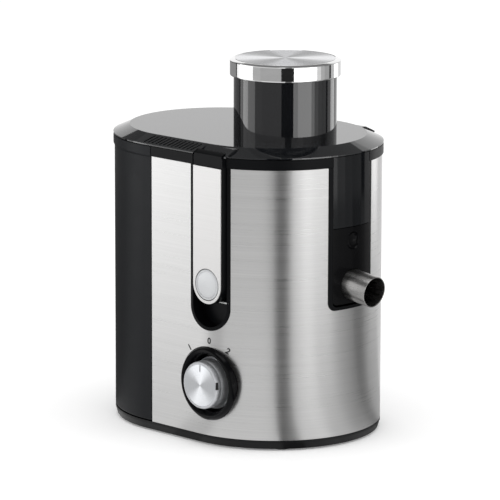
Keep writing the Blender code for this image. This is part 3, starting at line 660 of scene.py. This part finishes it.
def make_rim():
    rim = prism(front_outline(LIP), rim_low.z, rim_high.z)
    cut(rim, cylinder(WELL_R, BELOW_RIM, ABOVE, steps=ROUND))
    half = SLOT_INNER + GAP
    cut(rim, box((40, -half, BELOW_RIM), (OUTSIDE, half, ABOVE)))
    for side in (-1, 1):
        notch = [(-POCKET_HALF, BELOW_RIM), (POCKET_HALF, BELOW_RIM), (POCKET_HALF, ABOVE),
                 (-POCKET_HALF, ABOVE)]
        cut(rim, faced(notch, ARM_BACK - 0.8, OUTSIDE, side))
    finish(rim, "rim_band_fine", PLASTIC, "housing", ["rim_band"], 0.5)


def middle_of(node_name):
    low, high = span(node_name)
    return (low.x + high.x) / 2, (low.y + high.y) / 2


def make_tray():
    low, high = tray_low.z, tray_high.z
    tray = loft([lift(body_outline(-1.6), low), lift(body_outline(-0.4), high - 2.6),
                 lift(body_outline(0.0), high - 1.8), lift(body_outline(0.0), high)])
    cut(tray, prism(front_outline(-3.2, -62.0), 4.2, 12))
    cut(tray, prism(rear_outline(-5.0, -72.0), 0, 6.0))
    for number in range(1, 5):
        foot = middle_of(f"foot_{number}")
        cut(tray, cylinder(8.4, 0, 3.0, *foot, 48))
        screw = middle_of(f"base_screw_{number}")
        cut(tray, cylinder(3.6, 0, 2.9, *screw, 32))
        cut(tray, cylinder(1.9, 0, 6.0, *screw, 32))
    for row in range(-2, 3):
        middle = row * VENT_PITCH
        cut(tray, box((-26, middle - 2.4, 0), (26, middle + 2.4, 8)))
    finish(tray, "base_tray_fine", TRAY, "housing", ["base_tray"], 0.4)


def make_container():
    low, front = bin_low.z, bin_high.x
    lip_low = rim_low.z
    rings = [
        lift(rear_outline(-1.0, front), low), lift(rear_outline(0.0, front), low + 1.2),
        lift(rear_outline(0.0, front), lip_low - 1.0),
        lift(rear_outline(LIP, front), lip_low), lift(rear_outline(LIP, front), bin_high.z),
        lift(rear_outline(-1.6, front - 2.5), bin_high.z),
        lift(rear_outline(-2.5, front - 2.5), low + 3.0),
    ]
    container = loft(rings)
    cut(container, box((-72, -40, 214), (-60, 40, ABOVE)))
    finish(container, "pulp_container_fine", CONTAINER, "container", ["pulp_container"],
           0.6)


# Latches.


def edge_z(y):
    """Height of the lid's sloping edge at depth y on the straight sides."""
    return LID_SHOULDER + (BODY_R + LIP - y) / (LIP + LID_INSET) * (LID_TOP - LID_SHOULDER)


def ramp_y(z, clearance):
    """Depth of the notch's slanted face in the lid, where the latch's hook lies on it."""
    return HOOK_FOOT + clearance - (z - LID_BOTTOM) * HOOK_SLOPE


def pin_bore(radius, half, side):
    return move(turn(cylinder(radius, -half, half), "Y", 90), y=side * PIN_Y, z=PIN_Z)


def make_latch_frame(suffix, side):
    frame = latch_gap(side, FRAME_HALF, frame_low.z, frame_high.z, FRAME_BACK)
    keep(frame, prism(front_outline(0.4), 80, 240))
    cut(frame, latch_gap(side, POCKET_HALF, POCKET_Z - POCKET_HALF, ABOVE, POCKET_BACK))
    cut(frame, pin_bore(1.52, 18.6, side))
    finish(frame, f"latch_frame_{suffix}_fine", PLASTIC, "housing", [f"latch_frame_{suffix}"],
           0.7)


def make_arm(suffix, side):
    arm = latch_gap(side, ARM_HALF, arm_low.z, RIM_TOP_CUT, ARM_BACK, ARM_FACE)
    head_low = RIM_TOP_CUT - 1.0
    peak_y = ramp_y(HOOK_TOP - 0.5, 0.5)
    head = [(ARM_FACE, head_low), (ARM_FACE, edge_z(ARM_FACE) - 0.2),
            (ARM_FACE - 0.4, edge_z(ARM_FACE - 0.4)), (peak_y, min(edge_z(peak_y), HOOK_TOP)),
            (ramp_y(head_low, 0.5), head_low)]
    join(arm, across(head, HEAD_HALF, side))
    bore = BUTTON_R + 0.4
    cut(arm, round_y([(9.4, 80.8), (9.4, 84.4), (bore, 84.4), (bore, OUTSIDE)], BUTTON_Z, side))
    cut(arm, pin_bore(1.6, 20, side))
    finish(arm, f"latch_arm_{suffix}_fine", PLASTIC, f"latch_{suffix}", [f"latch_arm_{suffix}"],
           0.45)


def make_insert(suffix, side):
    insert = latch_gap(side, INSERT_HALF, insert_low.z, insert_high.z, ARM_FACE + 0.2,
                       ARM_FACE + 1.1)
    bore = BUTTON_R + 0.5
    cut(insert, round_y([(bore, 80), (bore, OUTSIDE)], BUTTON_Z, side))
    finish(insert, f"latch_insert_{suffix}_fine", SATIN, f"latch_{suffix}",
           [f"latch_insert_{suffix}"], 0.25)


def make_button(suffix, side):
    button = round_y([
        (9.0, 83.6), (9.0, 87.2), (BUTTON_R, 87.2), (BUTTON_R, BUTTON_FACE - 0.9),
        (BUTTON_R - 0.5, BUTTON_FACE - 0.25), (BUTTON_R - 1.2, BUTTON_FACE),
        (BUTTON_R - 1.9, BUTTON_FACE - 0.3), (BUTTON_R - 2.2, BUTTON_FACE - 0.7),
        (8.0, BUTTON_FACE - 0.42), (4.0, BUTTON_FACE - 0.3), (0.5, BUTTON_FACE - 0.26),
    ], BUTTON_Z, side)
    finish(button, f"latch_button_{suffix}_fine", BUTTON, f"button_{suffix}",
           [f"latch_button_{suffix}"], 0)


# Knob.


def surface_y(x):
    """Depth of the steel wrap's front face at x."""
    reach = BODY_R if x < FRONT_CX else math.sqrt(BODY_R ** 2 - (x - FRONT_CX) ** 2)
    return -reach


def make_bezel():
    bezel = round_y([
        (5.0, 80.2), (22.6, 80.2), (23.2, 81.2), (23.8, 85.4), (24.6, 89.0), (25.6, 91.2),
        (26.6, BEZEL_CREST - 0.2), (27.4, BEZEL_CREST), (28.3, BEZEL_CREST - 0.35),
        (29.3, BEZEL_CREST - 1.3), (30.1, BEZEL_CREST - 2.7), (BEZEL_R, BEZEL_EDGE),
        (BEZEL_R - BEZEL_TAPER, BEZEL_FOOT), (BEZEL_R - BEZEL_TAPER, -bezel_high.y),
        (5.0, -bezel_high.y),
    ], KNOB_Z, -1, looped=True)
    finish(bezel, "knob_bezel_fine", GLOSS, "housing", ["knob_bezel"], 0)


def make_knob():
    front = -KNOB_FACE
    knob = round_y([
        (SHAFT_R, 82.0), (21.6, 82.0), (21.6, 83.2), (21.2, 83.7), (20.4, 84.2), (20.1, 86.0),
        (KNOB_R + 0.35, 88.0), (KNOB_R + 0.2, 92.6), (KNOB_R - 0.05, 93.0),
        (KNOB_R - 0.05, 93.6), (KNOB_R + 0.18, 94.0), (KNOB_R, KNOB_FACE - 1.5),
        (KNOB_R - 0.35, KNOB_FACE - 0.55), (KNOB_R - 1.1, KNOB_FACE - 0.1),
        (KNOB_R - 1.6, KNOB_FACE - 0.15), (KNOB_R - 1.9, KNOB_FACE - 0.45),
        (SHAFT_R, KNOB_FACE - 0.45),
    ], KNOB_Z, -1, looped=True)
    cut(knob, box((-0.5, front - 1, KNOB_Z + 11.5), (0.5, front + 0.9, KNOB_Z + 17.0)))
    cut(knob, box((KNOB_R - 1.5, front - 1, NOTCH_Z - 3.1), (KNOB_R + 1, front + 2.6, NOTCH_Z + 3.1)))
    finish(knob, "control_knob_fine", KNOB_SIDE, "knob", ["control_knob"], 0)

    disc_r = KNOB_R - 2.2
    face = round_y([(0.4, KNOB_FACE - 2.0), (disc_r, KNOB_FACE - 2.0), (disc_r, KNOB_FACE - 0.35),
                    (disc_r - 0.3, KNOB_FACE - 0.1), (0.4, KNOB_FACE - 0.1)], KNOB_Z, -1)
    cut(face, box((-0.5, front - 1, KNOB_Z + 11.5), (0.5, front + 0.9, KNOB_Z + 17.5)))
    finish(face, "knob_face_disc", KNOB_TOP, "knob", bevel=0)
    pointer = box((-0.48, front + 0.5, KNOB_Z + 11.6), (0.48, front + 1.8, KNOB_Z + 16.9))
    finish(pointer, "knob_pointer", MARKING, "knob", bevel=0)
    # A near-black block at the bottom of the cut notch: painted shade for the recess, not print.
    notch = box((KNOB_R - 1.7, front + 0.2, NOTCH_Z - 3.0), (KNOB_R - 0.9, front + 2.8, NOTCH_Z + 3.0))
    finish(notch, "knob_notch_painted_shade", MARKING, "knob", bevel=0)


def digit_mesh(label):
    text = bpy.data.curves.new(f"digit_{label}", "FONT")
    text.body = label
    text.size = DIGIT_SIZE
    text.offset = DIGIT_BOLD
    text.align_x = "CENTER"
    text.align_y = "CENTER"
    text.resolution_u = 6
    shape = bpy.data.objects.new("digit", text)
    bpy.context.scene.collection.objects.link(shape)
    graph = bpy.context.evaluated_depsgraph_get()
    mesh = bpy.data.meshes.new_from_object(shape.evaluated_get(graph))
    bpy.data.objects.remove(shape)
    return mesh


def make_digits():
    """The digits printed on the steel round the knob, laid on its curve."""
    for label, degrees, reach in DIGITS:
        mesh = digit_mesh(label)
        digit = bpy.data.objects.new("digit", mesh)
        bpy.context.scene.collection.objects.link(digit)
        spin = Matrix.Rotation(math.radians(degrees), 4, "Z")
        mesh.transform(spin @ Matrix.Translation(Vector((0, reach, 0))))
        for vertex in mesh.vertices:
            x, z = vertex.co.x, vertex.co.y
            vertex.co = (x, surface_y(x) - PRINT_PROUD, KNOB_Z + z)
        finish(digit, f"dial_mark_{label}", MARKING, "housing", bevel=0)


# Spout side.


def spout_frame(obj):
    return move(turn(obj, "Y", 90 + SPOUT_TILT), x=SPOUT_X, z=SPOUT_Z)


def make_slot_frame():
    frame = facing_x(slot_outline(SLOT_HALF, slot_low.z, slot_high.z, 7.0), 73.9, OUTSIDE)
    cut(frame, facing_x(slot_outline(SLOT_INNER, slot_low.z + 2.5, ABOVE, 4.0), 60, OUTSIDE))
    keep(frame, prism(front_outline(0.5), 100, 240))
    finish(frame, "slot_frame_fine", PLASTIC, "housing", ["slot_frame"], 0.6)


def make_spout_plate():
    plate = facing_x(slot_outline(PANEL_HALF, plate_low.z, plate_high.z, 4.2), INSIDE, OUTSIDE)
    keep(plate, prism(front_outline(PANEL_PROUD), 100, 250))
    cut(plate, spout_frame(cylinder(SPOUT_R + 0.2, -40, 20, steps=ROUND)))
    thumb = turned([(3.0, 0.6), (5.2, 1.4), (THUMB_R - 0.6, 3.1), (THUMB_R, 4.2),
                    (THUMB_R + 0.1, 8)])
    cut(plate, move(turn(thumb, "Y", 90), x=73.6, z=THUMB_Z))
    finish(plate, "spout_plate_fine", GLOSS, "spout", ["spout_plate"], 0.4)


def make_spout():
    tilt = math.radians(SPOUT_TILT)
    length = (spout_high.x - SPOUT_X - SPOUT_R * math.sin(tilt)) / math.cos(tilt)
    middle = (SPOUT_R + SPOUT_BORE) / 2
    spout = spout_frame(turned([
        (SPOUT_BORE, -11.6), (FLANGE_R, -11.6), (FLANGE_R, -10.4), (SPOUT_R, -10.4),
        (SPOUT_R, length - 0.5), (SPOUT_R - 0.12, length - 0.15), (middle, length),
        (SPOUT_BORE + 0.12, length - 0.15), (SPOUT_BORE, length - 0.5),
    ], looped=True))
    finish(spout, "spout_tube_fine", SPOUT, "spout", ["spout_tube"], 0)


def make_bowl():
    bowl = turned([
        (15.5, bowl_low.z), (BOWL_R - 1.5, bowl_low.z), (BOWL_R, bowl_low.z + 1.5),
        (BOWL_R, bowl_high.z), (BOWL_R - 2, bowl_high.z), (BOWL_R - 2, BOWL_FLOOR + 1.0),
        (BOWL_R - 3.5, BOWL_FLOOR), (17.5, BOWL_FLOOR), (17.5, 129.0), (15.5, 129.0),
    ], looped=True)
    panel = box((BOWL_R - 1.4, -PANEL_HALF, PANEL_SEAM + 0.2), (OUTSIDE, PANEL_HALF, bowl_high.z))
    keep(panel, prism(front_outline(PANEL_PROUD), 100, 250))
    cut(panel, cylinder(BOWL_R - 1.0, 100, ABOVE, steps=ROUND))
    join(bowl, panel)
    neck = spout_frame(cylinder(11.5, -24, -4))
    join(bowl, cut(neck, cylinder(BOWL_R - 0.8, 100, 160)))
    cut(bowl, spout_frame(cylinder(9.9, -30, 10)))
    cut(bowl, box((-70, -40, 222), (-30, 40, ABOVE)))
    finish(bowl, "juice_bowl_fine", PANEL, "bowl", ["juice_bowl"], 0.3)


# Lid, pusher and cap.


def cut_catch(lid, side):
    """A solid cheek in the lid's edge, notched for the hook, with a shallow hollow above it."""
    cheek = [(72.0, LID_BOTTOM), (88.0, LID_BOTTOM), (88.0, LID_SHOULDER),
             (77.0, LID_TOP - 1.0), (72.0, LID_TOP - 1.0)]
    join(lid, across(cheek, 19.0, side))
    low, top = LID_BOTTOM - 2, LID_TOP + 4
    scoop = [(ramp_y(low, 0), low), (OUTSIDE, low), (OUTSIDE, top), (ramp_y(top, 0), top)]
    cut(lid, across(scoop, SCOOP_HALF, side))
    hollow = [(85.6, edge_z(85.6) - 2.0), (85.6, top), (78.4, top), (78.4, edge_z(78.4))]
    cut(lid, across(hollow, HOLLOW_HALF, side))


def make_lid():
    lid = loft([
        lift(body_outline(-LID_INSET - 1.2), LID_TOP - 2.6), lift(body_outline(-2.0), LID_BOTTOM),
        lift(body_outline(LIP), LID_BOTTOM), lift(body_outline(LIP), LID_SHOULDER),
        lift(body_outline(-LID_INSET), LID_TOP),
    ])
    join(lid, turned([(TUBE_R - 1.2, lid_low.z), (TUBE_R - 0.2, LID_BOTTOM),
                      (TUBE_R, LID_TOP - 0.8), (TUBE_R, lid_high.z)]))
    skirt = turned([(57.0, SKIRT_LOW), (59.2, SKIRT_LOW), (59.6, LID_TOP - 1.2),
                    (56.6, LID_TOP - 1.2)], looped=True)
    cut(skirt, box((-70, -42, 200), (-30, 42, LID_TOP - 2.2)))
    join(lid, skirt)
    for side in (-1, 1):
        cut_catch(lid, side)
    cut(lid, cylinder(TUBE_BORE, 160, 310, steps=ROUND))
    finish(lid, "lid_cover_fine", LID, "lid", ["lid_cover"], 0.35, 15)


def make_ribs(suffix, side):
    """Slanted grip ribs on the sloping edge of the lid, beside the latch."""
    inner, outer = BODY_R - LID_INSET + 2.2, BODY_R + LIP - 2.0
    ribs = []
    for i in range(RIB_COUNT):
        x = RIB_START + i * RIB_PITCH
        ring = [(x, outer), (x + 1.1, outer), (x + 4.6, inner), (x + 3.5, inner)]
        ribs.append(loft([[(px, side * py, edge_z(py) + rise) for px, py in ring]
                          for rise in (-0.5, 0.45)]))
    finish(attach(ribs[0], ribs[1:]), f"lid_grip_ribs_{suffix}", PLASTIC, "lid",
           bevel=0.2)


def make_pusher_body():
    low, high = body_low.z, body_high.z
    body = turned([
        (PUSHER_BORE, low + 3.0), (PUSHER_BORE, high), (PUSHER_R - 0.2, high), (PUSHER_R, 296.0),
        (PUSHER_R, low + 1.5), (PUSHER_R - 1.5, low),
    ], looped=True)
    join(body, cylinder(PUSHER_BORE + 0.5, low + 0.4, low + 3.2, steps=ROUND))
    finish(body, "pusher_body_fine", GLOSS, "pusher", ["pusher_body"], 0.3)


def make_cap():
    radius, low, top = cap_high.x, cap_low.z, cap_high.z
    band = turned([
        (39.1, CAP_BAND_TOP - 2.4), (39.3, low), (radius - 0.8, low), (radius - 0.2, low + 0.35),
        (radius, low + 1.0), (radius, low + 1.2), (radius, CAP_BAND_TOP - 0.7),
        (radius, CAP_BAND_TOP - 0.5), (radius - 0.15, CAP_BAND_TOP - 0.1),
        (radius - 0.45, CAP_BAND_TOP + 0.1), (43.1, top - 0.2), (42.5, top - 0.02),
        (41.9, top - 0.1), (CAP_DISC_R + 0.3, top - 0.4), (30.0, top - 0.4),
    ])
    finish(band, "pusher_cap_band", CHROME, "pusher", ["pusher_cap"], 0)
    disc = turned([(0.5, top - 3.4), (CAP_DISC_R, top - 3.4), (CAP_DISC_R, top - 0.35),
                   (CAP_DISC_R - 0.3, top - 0.12), (0.5, top - 0.12)])
    finish(disc, "pusher_cap_disc", CAP_TOP, "pusher", bevel=0)


# Basket.


def make_tooth(radius, top):
    """One raked tooth of the grating disc, on the X axis at a radius."""
    foot = [(-0.9, -0.35), (0.9, -0.35), (0.9, 0.75), (-0.9, 0.75)]
    tip = [(-0.15, -0.35), (0.15, -0.35), (0.15, -0.2), (-0.15, -0.2)]
    return loft([[(radius + x, y, top + rise) for x, y in ring]
                 for ring, rise in ((foot, -0.2), (tip, 1.2))])


def make_sieve():
    low, high = cone_low.z, cone_high.z
    wide, narrow = cone_high.x, DISC_EDGE
    cone = turned([(narrow - 2.9, low), (narrow + 0.4, low), (wide, high), (wide - 0.9, high),
                   (narrow - 0.6, low + 1.1), (narrow - 2.9, low + 1.1)], looped=True)
    finish(cone, "sieve_cone_fine", SIEVE, "basket", ["sieve_cone"], 0)


def make_grater():
    top = disc_high.z - 3.0
    disc = turned([(DISC_EDGE - 3.2, top - 1.0), (DISC_EDGE - 3.2, top), (24.0, top), (12.0, top),
                   (10.6, top + 2.4), (10.0, top + 3.0)])
    teeth = []
    for ring in range(TOOTH_RINGS):
        count = 14 + ring * 5
        for i in range(count):
            tooth = make_tooth(15.0 + ring * 3.9, top)
            teeth.append(turn(tooth, "Z", 360 * (i + ring * 0.37) / count))
    finish(attach(disc, teeth), "grating_disc_fine", GRATER, "basket", ["grating_disc"],
           0)


make_wrap()
make_rim()
make_tray()
make_container()
for latch_suffix, latch_side in (("front", -1), ("back", 1)):
    make_latch_frame(latch_suffix, latch_side)
    make_arm(latch_suffix, latch_side)
    make_insert(latch_suffix, latch_side)
    make_button(latch_suffix, latch_side)
make_bezel()
make_knob()
make_digits()
make_slot_frame()
make_spout_plate()
make_spout()
make_bowl()
make_lid()
for rib_suffix, rib_side in (("front", -1), ("back", 1)):
    make_ribs(rib_suffix, rib_side)
make_pusher_body()
make_cap()
make_sieve()
make_grater()

CARRIED = {
    "housing_shell": PLASTIC, "zinc_steel": ZINC, "copper": COPPER, "rubber": RUBBER,
    "silicone": SILICONE, "nylon": NYLON, "iron_stack": IRON, "switch_plastic": SWITCH,
    "basket_plastic": PLASTIC, "switch_shaft": NYLON,
}
slots = {part["node"]: part["material_slot"] for part in frame["record"]["subparts"]}
for name, part in frame["nodes"].items():
    if not part.hide_render:
        part.data.materials.clear()
        part.data.materials.append(BRASS if name == "commutator" else CARRIED[slots[name]])


# Studio.


# Brightness of the surroundings that glossy surfaces reflect. Each row is a sector from one angle to
# another, from -Y towards +X in degrees, and its glow near the object, in the middle and far out.
SURROUND = (
    (-77, -73, 0.02, 0.02, 0.02), (-73, -62, 0.50, 0.50, 1.20), (-62, -46, 0.85, 1.40, 3.20),
    (-46, -26, 0.85, 1.50, 1.60), (-26, -8, 0.55, 0.84, 0.50), (-8, 36, 0.90, 0.84, 0.45),
    (36, 44, 0.90, 0.84, 0.02), (44, 58, 0.14, 0.14, 0.02), (58, 62, 0.75, 0.75, 0.02),
    (62, 72, 0.90, 0.85, 2.20), (72, 84, 1.05, 1.00, 3.20), (84, 104, 0.78, 0.75, 3.20),
    (104, 112, 0.62, 0.60, 1.80), (112, 122, 0.50, 0.50, 0.80), (122, 132, 0.40, 0.40, 0.50),
    (132, 146, 0.20, 0.20, 0.40), (146, 152, 0.30, 0.30, 0.05), (152, 164, 0.45, 0.50, 0.60),
    (164, 182, 0.50, 0.60, 2.50), (182, 205, 0.80, 0.80, 0.80), (205, 243, 1.10, 1.10, 1.10),
    (243, 283, 0.15, 0.15, 0.30),
)
# Radii of the glow's rings in metres, and which of a sector's three values each takes.
GLOW_RINGS = ((0.02, 0), (0.30, 0), (1.08, 1), (1.14, 2), (2.60, 2), (4.20, 1))
SURROUND_FLOOR = 0.0006
SURROUND_TOP = 3.0
SURROUND_PEAK = 3.6
CEILING = 0.22
ANGLE_STEP = 4
FLOOR_R = 9.0
WORLD_STRENGTH = 0.85
LAMP_SIZE = 2.0
LAMP_WATTS = 22.0
LAMP_PLACE = (0.3, -0.4, 3.2)


def surround_point(degrees, radius, z=SURROUND_FLOOR):
    a = math.radians(degrees)
    return (AXIS.x + radius * math.sin(a), AXIS.y - radius * math.cos(a), z)


def surround_mesh():
    form = bmesh.new()
    glow = form.verts.layers.float.new("glow")

    def face(*corners):
        verts = []
        for point, value in corners:
            verts.append(form.verts.new(point))
            verts[-1][glow] = value
        form.faces.new(verts)

    edge = GLOW_RINGS[-1][0]
    peak = (AXIS.x, AXIS.y, SURROUND_PEAK)
    for start, end, *values in SURROUND:
        steps = max(1, (end - start) // ANGLE_STEP)
        for i in range(steps):
            a, b = (start + (end - start) * k / steps for k in (i, i + 1))
            for (near, near_key), (far, far_key) in zip(GLOW_RINGS, GLOW_RINGS[1:]):
                face((surround_point(a, near), values[near_key]),
                     (surround_point(b, near), values[near_key]),
                     (surround_point(b, far), values[far_key]),
                     (surround_point(a, far), values[far_key]))
            wall = values[1]
            top_a, top_b = (surround_point(angle, edge, SURROUND_TOP) for angle in (a, b))
            face((surround_point(a, edge), wall), (surround_point(b, edge), wall), (top_b, wall),
                 (top_a, wall))
            face((top_a, CEILING), (top_b, CEILING), (peak, CEILING))
    mesh = bpy.data.meshes.new("surround")
    form.to_mesh(mesh)
    form.free()
    return mesh


def make_surround():
    """One glowing card round and under the object that only reflections show."""
    mesh = surround_mesh()
    material = bpy.data.materials.new("surround_glow")
    material.use_nodes = True
    tree = material.node_tree
    tree.nodes.clear()
    strength = node(tree, "ShaderNodeAttribute", {"attribute_name": "glow"})
    light = node(tree, "ShaderNodeEmission", Strength=strength.outputs["Fac"])
    node(tree, "ShaderNodeOutputMaterial", Surface=light.outputs[0])
    mesh.materials.append(material)
    made = bpy.data.objects.new("surround", mesh)
    bpy.context.scene.collection.objects.link(made)
    made.visible_camera = False
    made.visible_shadow = False
    made.visible_diffuse = False
    made.visible_transmission = False


def make_floor():
    form = bmesh.new()
    bmesh.ops.create_circle(form, cap_ends=True, radius=FLOOR_R, segments=96)
    mesh = bpy.data.meshes.new("floor")
    form.to_mesh(mesh)
    form.free()
    floor = bpy.data.objects.new("floor", mesh)
    bpy.context.scene.collection.objects.link(floor)
    material, tree, shader = new_material("floor_paper", Specular_IOR_Level=0.0,
                                          Emission_Color=(1, 1, 1, 1), Emission_Strength=0.2)
    grain = noise(tree, (300, 300, 300), 3.0)
    dress(tree, shader, tinted(tree, grain, (0.93, 0.93, 0.93), (0.95, 0.95, 0.95)),
          spread(tree, grain, 0.8, 0.95), grain, 0.02, 0.0002)
    mesh.materials.append(material)


def make_world():
    world = bpy.data.worlds.new("studio")
    world.use_nodes = True
    bpy.context.scene.world = world
    background = world.node_tree.nodes["Background"]
    background.inputs["Color"].default_value = (1.0, 1.0, 1.0, 1)
    background.inputs["Strength"].default_value = WORLD_STRENGTH


def make_lamp():
    light = bpy.data.lights.new("top_softbox", "AREA")
    light.shape = "RECTANGLE"
    light.size, light.size_y, light.energy = LAMP_SIZE, LAMP_SIZE, LAMP_WATTS
    lamp = bpy.data.objects.new("top_softbox", light)
    lamp.location = LAMP_PLACE
    bpy.context.scene.collection.objects.link(lamp)


# The photograph's viewpoint: angles in degrees, distance and height in metres, lens in millimetres.
VIEW_AZIMUTH = 44.0
VIEW_DISTANCE = 3.133
VIEW_HEIGHT = 0.8045
VIEW_PITCH = 11.79
VIEW_YAW = 0.521
VIEW_ROLL = 0.15
VIEW_LENS = 278.8
SENSOR = 36.0
CLIP_END = 60.0


def make_camera():
    azimuth = math.radians(VIEW_AZIMUTH)
    camera = bpy.data.cameras.new("camera")
    camera.lens = VIEW_LENS
    camera.sensor_width = SENSOR
    camera.clip_end = CLIP_END
    viewer = bpy.data.objects.new("camera", camera)
    bpy.context.scene.collection.objects.link(viewer)
    place = AXIS + Vector((math.sin(azimuth), -math.cos(azimuth), 0)) * VIEW_DISTANCE
    place.z = VIEW_HEIGHT
    heading = Matrix.Rotation(azimuth + math.radians(VIEW_YAW), 4, "Z")
    pitch = Matrix.Rotation(math.radians(90 - VIEW_PITCH), 4, "X")
    roll = Matrix.Rotation(math.radians(VIEW_ROLL), 4, "Z")
    viewer.matrix_world = Matrix.Translation(place) @ heading @ pitch @ roll
    bpy.context.scene.camera = viewer


make_floor()
make_world()
make_surround()
make_lamp()
make_camera()
bpy.context.scene.view_settings.view_transform = "Standard"
